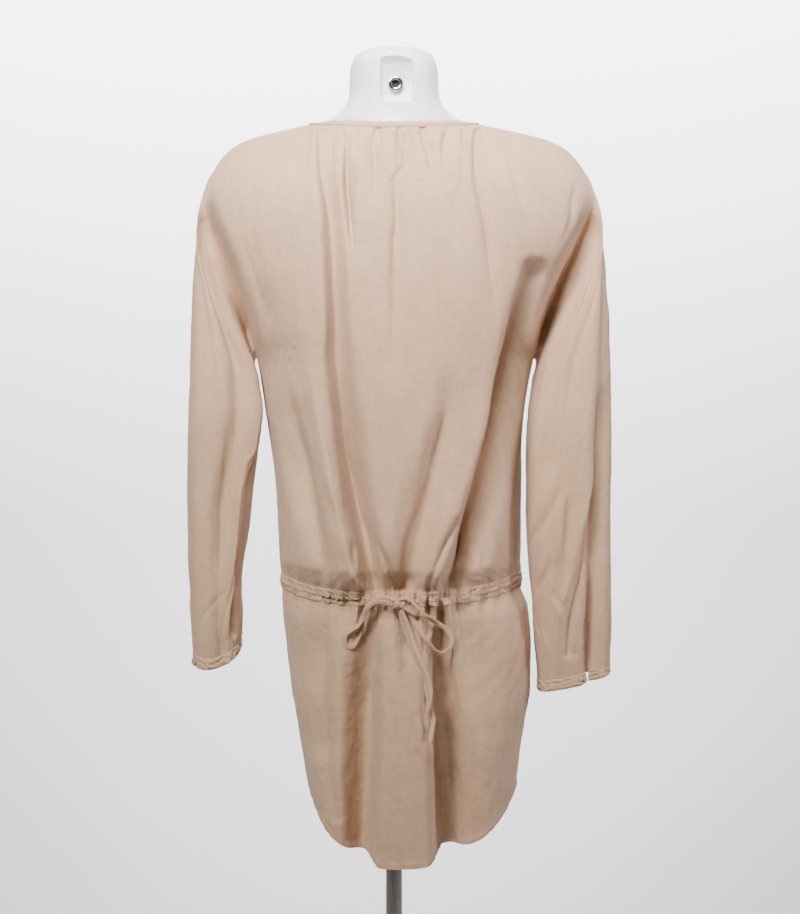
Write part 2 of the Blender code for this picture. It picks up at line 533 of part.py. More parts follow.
def front_rows(rows, levels, folds, has_neck, half):
    """Half of the front, from the middle to the side seam. Half is -1 for the wearer's left."""
    made = []
    for level in levels:
        curve = section(rows, 1, level, folds, has_neck)
        keep = curve[:, 0] * half >= 0
        piece = curve[keep] if half > 0 else curve[keep][::-1]
        first = piece[:1].copy()
        first[0, 0] = 0
        piece = np.concatenate([first, piece[1:]])
        mirrored = piece * (half, 1, 1)
        stops = (PLACKET_HALF, 0.055, NECK_HALF if has_neck and level > 1.25 else 0.085)
        made.append(spread(mirrored, stops, (1, 3, 2, 5)) * (half, 1, 1))
    return made


def square_to_seams(facing, seam_half):
    """Normals turned square to the seams at the shoulders and the sides, so that both walls meet flat."""
    for k, (row, normal) in enumerate(facing):
        for end in (0, -1):
            normal[end, 1] = 0.0
        if k == 0:
            normal[np.abs(row[:, 0]) >= seam_half - SEAM_GAP, 1] = 0.0
    return [unit(normal) for _, normal in facing]


def half_wall(rows, facing, top, bottom, hem_from=None):
    """The outer and inner rows of a wall, with its end rows half a seam gap from their neighbours.

    From the column hem_from on, its last two rows stand out as a turned hem."""
    outer = [r.copy() for r in rows]
    inner = [r - n * CLOTH for r, n in zip(rows, facing)]
    for group in (outer, inner):
        group[0][:, 2] -= top
        group[-1][:, 2] += bottom
    if hem_from is not None:
        for k in (-2, -1):
            outer[k][hem_from:] += facing[k][hem_from:] * HEM_EXTRA
    return outer, inner


def strip_over(rows, facing, low, high):
    """A strip that lies on a panel, made from the panel's rows moved out."""
    return [r + n * high for r, n in zip(rows, facing)], [r + n * low for r, n in zip(rows, facing)]


def make_back():
    half_gap = SEAM_GAP / 2
    bodice = back_rows(BACK_BODICE_ROWS, BACK_BODICE_LEVELS, BODICE_LINES, BACK_BODICE_FOLDS, True)
    skirt = back_rows(BACK_SKIRT_ROWS, BACK_SKIRT_LEVELS, SKIRT_LINES, BACK_SKIRT_FOLDS, False)
    rows = bodice + skirt[1:]
    for row in rows:
        row[0, 1] -= half_gap
        row[-1, 1] -= half_gap
    rows[0][:, 1] -= half_gap
    facing = square_to_seams(list(zip(rows, normals(rows, False, 1))), NECK_HALF)
    joint = len(bodice)
    outer, inner = half_wall(rows[:joint], facing[:joint], 0, half_gap)
    wall("back_bodice", outer, inner, COTTON)
    outer, inner = half_wall(rows[joint - 1:], facing[joint - 1:], half_gap, 0, hem_from=0)
    wall("back_skirt", outer, inner, COTTON)
    band = slice(joint - 2, joint + 1)
    high, low = strip_over(rows[band], facing[band], SEAM_GAP, SEAM_GAP + CLOTH)
    wall("waist_casing_back", high, low, COTTON)
    return {"rows": rows, "normals": facing}


def make_front():
    half_gap = SEAM_GAP / 2
    edges = {}
    for side, half in SLEEVE_SIDES.items():
        bodice = front_rows(FRONT_BODICE_ROWS, FRONT_BODICE_LEVELS, FRONT_FOLDS, True, half)
        skirt = front_rows(FRONT_SKIRT_ROWS, FRONT_SKIRT_LEVELS, FRONT_FOLDS, False, half)
        rows = bodice + skirt[1:]
        for row in rows:
            row[0, 0] += half * half_gap
            row[-1, 1] += half_gap
        rows[0][:, 1] += half_gap
        facing = normals(rows, False, -half)
        for normal in facing:
            normal[0, 0] = 0.0
            normal[-1, 1] = 0.0
        facing[0][np.abs(rows[0][:, 0]) >= NECK_HALF - SEAM_GAP, 1] = 0.0
        facing = [unit(n) for n in facing]
        joint = len(bodice)
        turned_over = half > 0
        outer, inner = half_wall(rows[:joint], facing[:joint], 0, half_gap)
        wall(f"front_bodice_{side}", outer, inner, COTTON, flip=turned_over)
        outer, inner = half_wall(rows[joint - 1:], facing[joint - 1:], half_gap, 0, hem_from=2)
        wall(f"front_skirt_{side}", outer, inner, COTTON, flip=turned_over)
        strip = [r[1:].copy() for r in rows[joint - 2:joint + 1]]
        for row in strip:
            row[0] += unit(row[1] - row[0]) * 2 * SEAM_GAP
        strip_facing = [n[1:] for n in facing[joint - 2:joint + 1]]
        high, low = strip_over(strip, strip_facing, SEAM_GAP, SEAM_GAP + CLOTH)
        wall(f"waist_casing_front_{side}", high, low, COTTON, flip=turned_over)
        edges[side] = {"rows": rows, "normals": facing}
    return edges


def make_placket(fronts):
    """The button band, over the edges of the two fronts, and its buttons."""
    left, right = fronts["left"]["rows"], fronts["right"]["rows"]
    rows = [np.stack([a[1], (a[0] + b[0]) / 2, b[1]]) for a, b in zip(left, right)]
    facing = normals(rows, False, -1)
    high, low = strip_over(rows, facing, SEAM_GAP, SEAM_GAP + CLOTH)
    wall("button_placket", high, low, COTTON, flip=True)
    line = np.array([r[1] for r in high])
    out = np.array([n[1] for n in facing])
    along = np.concatenate([[0], np.cumsum(np.linalg.norm(np.diff(line, axis=0), axis=1))])
    first, last = 0.014, along[-1] - 0.120
    for k in range(BUTTONS):
        at = first + (last - first) * k / (BUTTONS - 1)
        place = np.array([np.interp(at, along, line[:, c]) for c in range(3)])
        way = Vector([float(np.interp(at, along, out[:, c])) for c in range(3)]).normalized()
        shape = bmesh.new()
        bmesh.ops.create_cone(shape, cap_ends=True, cap_tris=False, segments=12, radius1=BUTTON_RADIUS,
                              radius2=BUTTON_RADIUS * 0.86, depth=BUTTON_THICK)
        lift = way * (BUTTON_THICK / 2 + 2 * SEAM_GAP)
        turn = way.to_track_quat("Z", "Y").to_matrix().to_4x4()
        bmesh.ops.transform(shape, matrix=Matrix.Translation(Vector(place) + lift) @ turn, verts=shape.verts)
        bmesh_object(f"button_{k + 1}", shape, BUTTON_SHELL)


def armhole(back, front, end):
    """The loop of points round an armhole, their inward side, and the way the sleeve leaves them."""
    pick, near = (0, 1) if end < 0 else (-1, -2)
    b_rows, f_rows = back["rows"][:ARMHOLE_ROWS], front["rows"][:ARMHOLE_ROWS]
    b_n, f_n = back["normals"][:ARMHOLE_ROWS], front["normals"][:ARMHOLE_ROWS]
    b_pts = np.array([r[pick] for r in b_rows])
    f_pts = np.array([r[-1] for r in f_rows])
    b_in = np.array([n[pick] for n in b_n])
    f_in = np.array([n[-1] for n in f_n])
    b_way = unit(b_pts - np.array([r[near] for r in b_rows]))
    f_way = unit(f_pts - np.array([r[-2] for r in f_rows]))

    def loop(b, f):
        return np.concatenate([[(b[0] + f[0]) / 2], b[1:-1], [(b[-1] + f[-1]) / 2], f[-2:0:-1]])

    return loop(b_pts, f_pts), unit(loop(b_in, f_in)), unit(loop(b_way, f_way))


def sleeve_fold_out(folds, angle, z):
    table = columns(SLEEVE_FOLD_COLUMNS, folds)
    moved = np.zeros_like(angle)
    fade = 0.060
    for k in range(len(folds)):
        f = {name: table[name][k] for name in SLEEVE_FOLD_COLUMNS}
        line = np.interp(-z, (-f["z_top"], -f["z_low"]), (f["angle_top"], f["angle_low"]))
        away = (angle - line + 180) % 360 - 180
        width = np.where(away < 0, f["minus_width"], f["plus_width"])
        ends = ease((f["z_top"] + fade - z) / fade) * ease((z - f["z_low"] + fade) / fade)
        moved += f["out"] * ends * np.exp(-np.abs(away / width) ** 2)
    return moved


SLEEVE_CAP_STEPS = (0.04, 0.14, 0.28, 0.44, 0.62, 0.80)
SLEEVE_LEVELS = (1.1000, 1.0650, 1.0200, 0.9650, 0.9100, 0.8700, 0.8400)


def sleeve_ring(side, level, angles):
    """One section of a hanging sleeve, with its folds and the tilt of its lower end."""
    rows = LEFT_SLEEVE_ROWS if side == "left" else RIGHT_SLEEVE_ROWS
    folds = LEFT_SLEEVE_FOLDS if side == "left" else RIGHT_SLEEVE_FOLDS
    table = columns(SLEEVE_COLUMNS, rows)
    near, far, back, front = (float(smooth(level, table["z"], table[n])) for n in SLEEVE_COLUMNS[1:])
    a = np.radians(angles)
    out = sleeve_fold_out(folds, angles, np.full_like(a, level))
    middle_x, middle_y = (near + far) / 2, (back + front) / 2
    wide, deep = (far - near) / 2 + out, (front - back) / 2 + out
    x = middle_x + wide * np.sign(np.cos(a)) * np.abs(np.cos(a)) ** 0.9
    y = middle_y - deep * np.sign(np.sin(a)) * np.abs(np.sin(a)) ** 0.9
    to_near, to_back = CUFF_TILT[side]
    low = ease((1.02 - level) / 0.24)
    z = level - low * (to_near * (0.5 - 0.5 * np.cos(a)) + to_back * (0.5 + 0.5 * np.sin(a)))
    return np.stack([SLEEVE_SIDES[side] * x, y, z], axis=1)


def sleeve_angles(side, count):
    """The angles of a sleeve's columns: even, but for a narrow pair along the slit over the cuff."""
    angles = np.arange(count) * 360.0 / count
    first = int(SLIT_ANGLE[side] // (360.0 / count))
    angles[first] = SLIT_ANGLE[side] - SLIT_HALF_ANGLE
    angles[first + 1] = SLIT_ANGLE[side] + SLIT_HALF_ANGLE
    return angles


def make_sleeve(side, back, front):
    end = SLEEVE_SIDES[side]
    loop, facing, leave = armhole(back, front, end)
    count = len(loop)
    angles = sleeve_angles(side, count)
    low_share = (0.5 - 0.5 * np.cos(np.radians(angles)))[:, None]
    sideways = np.tile([float(end), 0.0, 0.0], (count, 1))
    way = unit(leave * (1 - low_share) + sideways * low_share)
    middle = loop.mean(axis=0)
    to_middle = unit((middle - loop) * (0, 1, 1))
    inward = unit(-facing * (1 - low_share) + to_middle * low_share)
    start = loop + way * (SEAM_GAP + 0.0001)
    levels = SLEEVE_LEVELS + (SLEEVE_END[side],)
    rings = [sleeve_ring(side, z, angles) for z in levels]
    first = rings[0]
    reach = np.linalg.norm(first - start, axis=1)[:, None]
    depart = way * reach * (0.30 + 0.45 * low_share)
    arrive = np.tile([0.0, 0.0, -1.0], (count, 1)) * reach * (1.2 - 0.1 * low_share)
    cap = []
    for t in SLEEVE_CAP_STEPS:
        a, b = 2 * t**3 - 3 * t**2 + 1, t**3 - 2 * t**2 + t
        c, d = 3 * t**2 - 2 * t**3, t**3 - t**2
        cap.append(a * start + b * depart + c * first + d * arrive)
    rows = [start] + cap + rings
    out = normals(rows, True, -end)
    inner = [r - n * CLOTH for r, n in zip(rows, out)]
    inner[0] = start + inward * CLOTH
    wall(f"sleeve_{side}", rows, inner, COTTON, closed=True, flip=end > 0)
    make_cuff(side, rows[-1], out[-1], angles)
    make_slit_band(side, rows, out, angles)


def make_cuff(side, ring, facing, angles):
    """A narrow cuff under the sleeve, open at the slit, with its button by the slit."""
    end = SLEEVE_SIDES[side]
    slit = int(np.argmin(np.abs(angles - SLIT_ANGLE[side] - SLIT_HALF_ANGLE)))
    order = np.roll(np.arange(len(angles)), -slit)
    points = np.concatenate([ring[order], ring[order[:1]]])
    out = np.concatenate([facing[order], facing[order[:1]]])
    step = unit(points[1] - points[0]) * 0.0015
    points[0] += step
    points[-1] += unit(points[-2] - points[-1]) * 0.0015
    down = np.array([0, 0, -1.0])
    top = points + down * SEAM_GAP
    fall = np.linspace(0, 1, len(points))[:, None]
    low = points + down * CUFF_DEPTH - out * 0.0008 * fall
    rows = [top, (top + low) / 2, low]
    inner = [r - out * BAND_CLOTH for r in rows]
    wall(f"cuff_{side}", rows, inner, COTTON, flip=end > 0)
    place = rows[1][2] * 0.5 + rows[1][1] * 0.5
    square = np.cross(down, points[2] - points[1])
    way = Vector(unit(square * np.sign((square * out[1]).sum())))
    shape = bmesh.new()
    bmesh.ops.create_cone(shape, cap_ends=True, cap_tris=False, segments=12, radius1=BUTTON_RADIUS * 0.8,
                          radius2=BUTTON_RADIUS * 0.7, depth=BUTTON_THICK)
    turn = way.to_track_quat("Z", "Y").to_matrix().to_4x4()
    lift = way * (BUTTON_THICK / 2 + 3 * SEAM_GAP)
    bmesh.ops.transform(shape, matrix=Matrix.Translation(Vector(place) + lift) @ turn, verts=shape.verts)
    bmesh_object(f"cuff_button_{side}", shape, BUTTON_SHELL)


def make_slit_band(side, rows, facing, angles):
    """The bound slit above the cuff, on the sleeve's own points, moved out."""
    end = SLEEVE_SIDES[side]
    slit = int(np.argmin(np.abs(angles - SLIT_ANGLE[side] + SLIT_HALF_ANGLE)))
    strip = [r[slit:slit + 2].copy() for r in rows[-3:]]
    out = [n[slit:slit + 2] for n in facing[-3:]]
    strip[-1][:, 2] += SEAM_GAP
    high, low = strip_over(strip, out, SEAM_GAP, SEAM_GAP + CLOTH)
    wall(f"sleeve_slit_{side}", high, low, COTTON, flip=end > 0)


def make_neckband(back, fronts):
    """The binding round the neck, from one edge of the button band round the back to the other."""
    top = back["rows"][0]
    nape = top[np.abs(top[:, 0]) <= NECK_HALF + SEAM_GAP][::3]
    left, right = (fronts[side]["rows"][0][:7] for side in ("left", "right"))
    line = np.concatenate([left[:-1], nape, right[-2::-1]])
    inward = unit(-line * (1, 1, 0))
    across = unit(np.gradient(line, axis=0))
    across[[0, -1]] = (-1.0, 0.0, 0.0)
    steep = np.where(line[:, 1:2] < 0, 0.80, 0.60)
    up = inward * (1 - steep) + np.array([0, 0, 1.0]) * steep
    up = unit(up - across * (up * across).sum(axis=1, keepdims=True))
    out = unit(np.cross(across, up))
    out *= np.sign((out * (line * (1, 1, 0))).sum(axis=1, keepdims=True))
    low = line + up * SEAM_GAP * 1.5
    high = line + up * (BAND_HEIGHT + SEAM_GAP)
    rows = [high, low]
    inner = [r - out * BAND_CLOTH for r in rows]
    wall("neckband", rows, inner, COTTON)


# Bow: the middle and half size of its knot, and each string's route from the knot outwards
KNOT = (0.0065, -0.1181, 0.8565)
KNOT_HALF = (0.0078, 0.0050, 0.0056)
BOW_ROUTES = {
    "bow_loop_left": [
        (-0.0012, -0.1161, 0.8583), (-0.0101, -0.1170, 0.8621), (-0.0194, -0.1155, 0.8600),
        (-0.0276, -0.1138, 0.8538), (-0.0332, -0.1072, 0.8413), (-0.0360, -0.1053, 0.8290),
        (-0.0399, -0.1042, 0.8168), (-0.0453, -0.1051, 0.8087), (-0.0515, -0.1072, 0.8083),
        (-0.0541, -0.1086, 0.8156), (-0.0515, -0.1105, 0.8234), (-0.0452, -0.1117, 0.8282),
        (-0.0383, -0.1112, 0.8328), (-0.0341, -0.1126, 0.8400), (-0.0296, -0.1182, 0.8509),
        (-0.0204, -0.1201, 0.8578), (-0.0100, -0.1219, 0.8581), (-0.0016, -0.1212, 0.8550),
    ],
    "bow_loop_right": [
        (0.0137, -0.1201, 0.8530), (0.0244, -0.1178, 0.8484), (0.0342, -0.1176, 0.8432),
        (0.0473, -0.1046, 0.8345), (0.0592, -0.1013, 0.8259), (0.0642, -0.1014, 0.8155),
        (0.0606, -0.1021, 0.8051), (0.0526, -0.1023, 0.8007), (0.0442, -0.1093, 0.8047),
        (0.0367, -0.1150, 0.8145), (0.0288, -0.1159, 0.8261), (0.0217, -0.1143, 0.8379),
        (0.0124, -0.1134, 0.8532),
    ],
    "bow_tail_outer": [
        (0.0081, -0.1191, 0.8499), (0.0140, -0.1188, 0.8359), (0.0200, -0.1200, 0.8192),
        (0.0274, -0.1232, 0.7999), (0.0349, -0.1236, 0.7836), (0.0389, -0.1230, 0.7692),
        (0.0397, -0.1238, 0.7550), (0.0370, -0.1238, 0.7421), (0.0355, -0.1224, 0.7300),
        (0.0370, -0.1215, 0.7190),
    ],
    "bow_tail_inner": [
        (0.0054, -0.1135, 0.8512), (0.0112, -0.1134, 0.8330), (0.0164, -0.1146, 0.8188),
        (0.0229, -0.1186, 0.8028), (0.0298, -0.1202, 0.7866), (0.0348, -0.1190, 0.7712),
        (0.0364, -0.1186, 0.7570), (0.0404, -0.1172, 0.7436), (0.0430, -0.1173, 0.7305),
        (0.0418, -0.1217, 0.7190), (0.0390, -0.1263, 0.7065),
    ],
}


def smooth_route(points, spacing):
    """A smooth curve through a route's points, with a point at about every spacing."""
    points = np.array(points)
    place = np.concatenate([[0], np.cumsum(np.linalg.norm(np.diff(points, axis=0), axis=1))])
    ahead = np.gradient(points, place, axis=0)
    fine = np.linspace(0, place[-1], 400)
    k = np.clip(np.searchsorted(place, fine) - 1, 0, len(place) - 2)
    step = (place[k + 1] - place[k])[:, None]
    t = ((fine - place[k])[:, None]) / step
    curve = ((1 + 2 * t) * (1 - t) ** 2 * points[k] + t * (1 - t) ** 2 * step * ahead[k]
             + t * t * (3 - 2 * t) * points[k + 1] - t * t * (1 - t) * step * ahead[k + 1])
    along = np.concatenate([[0], np.cumsum(np.linalg.norm(np.diff(curve, axis=0), axis=1))])
    at = np.linspace(0, along[-1], max(4, round(along[-1] / spacing)))
    return np.stack([np.interp(at, along, curve[:, c]) for c in range(3)], axis=1)


def make_bow():
    for name, route in BOW_ROUTES.items():
        points = smooth_route(route, 2.2 * STRING)
        curve = bpy.data.curves.new(name, "CURVE")
        curve.dimensions = "3D"
        curve.bevel_depth = STRING / 2
        curve.bevel_resolution = 2
        curve.use_fill_caps = True
        spline = curve.splines.new("POLY")
        spline.points.add(len(points) - 1)
        for target, point in zip(spline.points, points):
            target.co = (*point, 1.0)
        curve.materials.append(material(COTTON))
        made = bpy.data.objects.new(name, curve)
        bpy.context.scene.collection.objects.link(made)
    shape = bmesh.new()
    bmesh.ops.create_icosphere(shape, subdivisions=2, radius=1.0)
    size = Matrix.Diagonal((*KNOT_HALF, 1.0))
    bmesh.ops.transform(shape, matrix=Matrix.Translation(KNOT) @ size, verts=shape.verts)
    bmesh_object("bow_knot", shape, COTTON)


def inside_cloth(point, trees):
    """A point of the form, drawn in towards the form's core where the cloth would touch it."""
    core = Vector((0.80 * point.x, 0.10 * point.y, min(point.z, 1.330)))
    way = point - core
    reach = way.length
    way.normalize()
    room = reach
    clear = FORM_CLEAR["shoulder" if abs(point.x) > 0.08 and point.z > 1.33 else "elsewhere"]
    for tree in trees:
        hit = tree.ray_cast(core, way, reach + clear)
        if hit[0] is not None:
            room = min(room, hit[3] - clear)
    return core + way * room


def make_form():
    """The white dress form, whole from its neck to its waist, with the niche at its nape."""
    graph = bpy.context.evaluated_depsgraph_get()
    worn = (
        "back_bodice", "front_bodice_left", "front_bodice_right", "sleeve_left", "sleeve_right", "neckband",
    )
    trees = [BVHTree.FromObject(bpy.data.objects[name], graph) for name in worn]
    table = columns(FORM_COLUMNS, FORM_ROWS)
    count = 28
    angle = np.linspace(0, 2 * math.pi, count, endpoint=False)
    shape = bmesh.new()
    rings = []
    for k in range(len(FORM_ROWS)):
        half, back, front = table["half"][k], table["back"][k], table["front"][k]
        deep = np.where(np.sin(angle) < 0, -back, front)
        x = half * np.cos(angle)
        y = deep * np.sign(np.sin(angle)) * np.abs(np.sin(angle)) ** (2 * table["pointed"][k])
        places = [Vector((px, py, table["z"][k])) for px, py in zip(x, y)]
        if table["z"][k] < NECK_FOOT:
            places = [inside_cloth(place, trees) for place in places]
        ring = [shape.verts.new(place) for place in places]
        rings.append(ring)
    for low, high in zip(rings, rings[1:]):
        for i in range(count):
            j = (i + 1) % count
            shape.faces.new((low[i], low[j], high[j], high[i]))
    shape.faces.new(rings[0][::-1])
    shape.faces.new(rings[-1])
    form = bmesh_object("dress_form", shape, FORM_PLASTIC)
    cutter = bmesh.new()
    bmesh.ops.create_cube(cutter, size=1.0)
    surface = -0.051
    size = Matrix.Diagonal((2 * NICHE["half"], 2 * NICHE["depth"], NICHE["high"] - NICHE["low"], 1.0))
    place = Matrix.Translation((NICHE["x"], surface, (NICHE["high"] + NICHE["low"]) / 2))
    bmesh.ops.transform(cutter, matrix=place @ size, verts=cutter.verts)
    tool = bmesh_object("niche_cutter", cutter, FORM_PLASTIC)
    tool.hide_render = True
    tool.display_type = "WIRE"
    cut = form.modifiers.new("niche", "BOOLEAN")
    cut.object = tool
    cut.operation = "DIFFERENCE"
    make_eyelet(surface + NICHE["depth"])


def make_eyelet(back_of_niche):
    """The metal eyelet in the niche, with a blind hole."""
    profile = [
        (EYELET["hole"], EYELET["length"] - EYELET["blind"]), (EYELET["hole"], EYELET["length"]),
        (EYELET["outer"] * 0.85, EYELET["length"]), (EYELET["outer"], EYELET["length"] * 0.7),
        (EYELET["outer"], 0.0),
    ]
    count = 20
    shape = bmesh.new()
    rings = []
    for radius, out in profile:
        turn = [2 * math.pi * i / count for i in range(count)]
        y = back_of_niche - SEAM_GAP - out
        rings.append([
            shape.verts.new((EYELET["x"] + radius * math.cos(a), y, EYELET["z"] + radius * math.sin(a)))
            for a in turn
        ])
    for a, b in zip(rings, rings[1:]):
        for i in range(count):
            j = (i + 1) % count
            shape.faces.new((a[i], a[j], b[j], b[i]))
    shape.faces.new(rings[0][::-1])
    shape.faces.new(rings[-1])
    bmesh.ops.recalc_face_normals(shape, faces=shape.faces)
    bmesh_object("neck_eyelet", shape, STEEL)


def turned(name, profile, count, finish):
    """A solid turned about the Z axis from a profile of radius and height, with flat ends."""
    shape = bmesh.new()
    rings = []
    turn = [2 * math.pi * i / count for i in range(count)]
    for radius, z in profile:
        rings.append([shape.verts.new((radius * math.cos(a), radius * math.sin(a), z)) for a in turn])
    for a, b in zip(rings, rings[1:]):
        for i in range(count):
            j = (i + 1) % count
            shape.faces.new((a[i], a[j], b[j], b[i]))
    shape.faces.new(rings[0][::-1])
    shape.faces.new(rings[-1])
    bmesh.ops.recalc_face_normals(shape, faces=shape.faces)
    return bmesh_object(name, shape, finish)


def make_stand():
    """The foot plate, the pole's socket on it and the pole up to the form."""
    edge = 0.002
    turned("foot_plate", [
        (FOOT_RADIUS - edge, 0), (FOOT_RADIUS, edge), (FOOT_RADIUS, FOOT_THICK - edge),
        (FOOT_RADIUS - edge, FOOT_THICK),
    ], 48, STEEL)
    socket = [(radius, FOOT_THICK + SEAM_GAP + height) for radius, height in SOCKET_PROFILE]
    turned("pole_socket", socket, 24, STEEL)
    pole_low = socket[-1][1] + SEAM_GAP
    turned("pole", [(POLE_RADIUS, pole_low), (POLE_RADIUS, FORM_BOTTOM - SEAM_GAP)], 24, STEEL)


def main():
    for found in list(bpy.data.objects):
        bpy.data.objects.remove(found)
    back = make_back()
    fronts = make_front()
    make_placket(fronts)
    for side in SLEEVE_SIDES:
        make_sleeve(side, back, fronts[side])
    make_neckband(back, fronts)
    make_bow()
    make_form()
    make_stand()


main()
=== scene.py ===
"""A gathered, drawstring-waist shirt dress on a limbless dress form, dressed over its CAD frame.

Metres, +Z up, the origin on the floor under the stand. The dress faces +Y and is seen from its back,
from -Y. Left and right are the wearer's. Each cloth piece is a thin closed shell: rows of section
curves from the tables below, with the creases seen in the cloth laid over them.
"""
import math

import bmesh
import bpy
import numpy as np
from bpy.props import FloatProperty, FloatVectorProperty, PointerProperty
from mathutils import Matrix, Vector
from mathutils.bvhtree import BVHTree


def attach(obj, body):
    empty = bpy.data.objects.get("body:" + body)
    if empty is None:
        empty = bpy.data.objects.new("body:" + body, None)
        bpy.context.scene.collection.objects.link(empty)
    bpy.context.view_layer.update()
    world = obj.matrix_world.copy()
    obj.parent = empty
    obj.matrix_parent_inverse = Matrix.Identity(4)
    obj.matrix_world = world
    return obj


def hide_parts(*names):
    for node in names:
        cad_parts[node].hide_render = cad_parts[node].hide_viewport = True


bl_info = {
    "name": "Gathered Shirt Dress",
    "version": (1, 0, 0),
    "blender": (4, 5, 0),
    "location": "3D View > Sidebar > Dress",
    "description": "Sews a drawstring-waist shirt dress and dresses a form on its stand with it",
    "category": "Object",
}

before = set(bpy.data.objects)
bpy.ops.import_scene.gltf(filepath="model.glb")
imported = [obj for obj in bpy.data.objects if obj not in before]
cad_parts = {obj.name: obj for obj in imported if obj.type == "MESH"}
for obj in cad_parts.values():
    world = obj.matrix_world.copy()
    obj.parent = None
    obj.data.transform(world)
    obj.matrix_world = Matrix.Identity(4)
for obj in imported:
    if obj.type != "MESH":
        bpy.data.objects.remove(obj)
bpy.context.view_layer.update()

# Seams, neck and shoulders
SEAM_GAP = 0.0003
NECK_HALF = 0.097
NECK_DROP_BACK = 0.012
NECK_BACK_Y = -0.065
NECK_FRONT_Y = 0.078
NECK_FRONT_Z = 1.318
NECK_POINT_Z = 1.399
ROUND_DEPTH = 0.095
FOLD_LIFT = 0.17

# Waist casing, button band, cuffs and stand
CASING_DEPTH = 0.015
CASING_CALM = 0.75
PLACKET_HALF = 0.0125
BUTTON_RADIUS = 0.0055
BUTTON_THICK = 0.0022
BUTTONS = 9
CUFF_DEPTH = 0.012
FOOT_THICK = 0.007
POLE_RADIUS = 0.0095
FORM_BOTTOM = 0.930
SOCKET_PROFILE = [(0.024, 0.0), (0.024, 0.008), (0.0145, 0.014), (0.0140, 0.030)]

# The shoulder seam's height, against the share of its length from the neck point to the sleeve
SHOULDER_COLUMNS = ("share", "z")
SHOULDER_ROWS = [
    (0.0, 1.399), (0.33, 1.3905), (0.53, 1.3845), (0.68, 1.378),
    (0.8, 1.369), (0.9, 1.356), (1.0, 1.337),
]

# Sections from the neck down: height at the middle and at the side edge, half widths on the wearer's
# left (-X) and right (+X), depth at the middle and at the side edge, and how square and round they are
SECTION_COLUMNS = ("mid_z", "side_z", "left", "right", "mid_y", "side_y", "square", "round")
BACK_BODICE_ROWS = [
    (1.387, 1.337, 0.213, 0.224, -0.065, 0.0, 2.6, 1.0),
    (1.36, 1.313, 0.2155, 0.228, -0.084, -0.022, 2.8, 1.0),
    (1.325, 1.288, 0.2115, 0.224, -0.101, -0.037, 3.0, 1.0),
    (1.28, 1.252, 0.199, 0.208, -0.114, -0.05, 3.0, 1.0),
    (1.235, 1.213, 0.1825, 0.189, -0.121, -0.052, 3.0, 0.95),
    (1.19, 1.175, 0.169, 0.174, -0.125, -0.04, 2.8, 0.82),
    (1.15, 1.143, 0.1605, 0.164, -0.127, -0.018, 2.6, 0.66),
    (1.13, 1.13, 0.157, 0.16, -0.128, 0.0, 2.5, 0.6),
    (1.07, 1.07, 0.147, 0.149, -0.13, 0.0, 2.4, 0.58),
    (0.98, 0.98, 0.135, 0.139, -0.134, 0.0, 2.4, 0.56),
    (0.92, 0.923, 0.132, 0.137, -0.137, 0.0, 2.4, 0.56),
    (0.895, 0.903, 0.131, 0.137, -0.135, 0.0, 2.4, 0.56),
    (0.878, 0.892, 0.13, 0.138, -0.122, 0.0, 2.4, 0.56),
    (0.868, 0.884, 0.129, 0.1385, -0.112, 0.0, 2.4, 0.56),
    (0.8605, 0.8765, 0.1285, 0.139, -0.11, 0.0, 2.4, 0.56),
]
BACK_SKIRT_ROWS = [
    (0.8605, 0.8765, 0.1285, 0.139, -0.11, 0.0, 2.4, 0.56),
    (0.853, 0.869, 0.1285, 0.14, -0.111, 0.0, 2.4, 0.56),
    (0.83, 0.845, 0.128, 0.151, -0.117, 0.0, 2.4, 0.56),
    (0.78, 0.798, 0.1225, 0.157, -0.123, 0.0, 2.3, 0.55),
    (0.735, 0.756, 0.118, 0.1565, -0.125, 0.0, 2.3, 0.55),
    (0.69, 0.716, 0.111, 0.1505, -0.126, 0.0, 2.3, 0.55),
    (0.64, 0.679, 0.105, 0.1445, -0.126, 0.0, 2.3, 0.55),
    (0.6, 0.656, 0.101, 0.142, -0.125, 0.0, 2.3, 0.55),
    (0.567, 0.64, 0.0965, 0.14, -0.124, 0.0, 2.3, 0.55),
]
FRONT_BODICE_ROWS = [
    (1.318, 1.337, 0.213, 0.224, 0.078, 0.0, 2.4, 1.0),
    (1.304, 1.313, 0.214, 0.2265, 0.088, 0.015, 2.6, 1.0),
    (1.285, 1.288, 0.208, 0.22, 0.099, 0.026, 2.8, 1.0),
    (1.258, 1.252, 0.194, 0.203, 0.111, 0.036, 2.8, 1.0),
    (1.226, 1.213, 0.178, 0.185, 0.121, 0.039, 2.8, 0.95),
    (1.19, 1.175, 0.167, 0.172, 0.128, 0.032, 2.6, 0.82),
    (1.152, 1.143, 0.16, 0.1635, 0.131, 0.015, 2.4, 0.66),
    (1.13, 1.13, 0.157, 0.16, 0.131, 0.0, 2.3, 0.6),
    (1.07, 1.07, 0.147, 0.149, 0.129, 0.0, 2.2, 0.54),
    (0.98, 0.98, 0.135, 0.139, 0.126, 0.0, 2.2, 0.5),
    (0.92, 0.923, 0.132, 0.137, 0.127, 0.0, 2.2, 0.5),
    (0.895, 0.903, 0.131, 0.137, 0.124, 0.0, 2.2, 0.5),
    (0.878, 0.892, 0.13, 0.138, 0.114, 0.0, 2.2, 0.5),
    (0.868, 0.884, 0.129, 0.1385, 0.106, 0.0, 2.2, 0.5),
    (0.8605, 0.8765, 0.1285, 0.139, 0.104, 0.0, 2.2, 0.5),
]
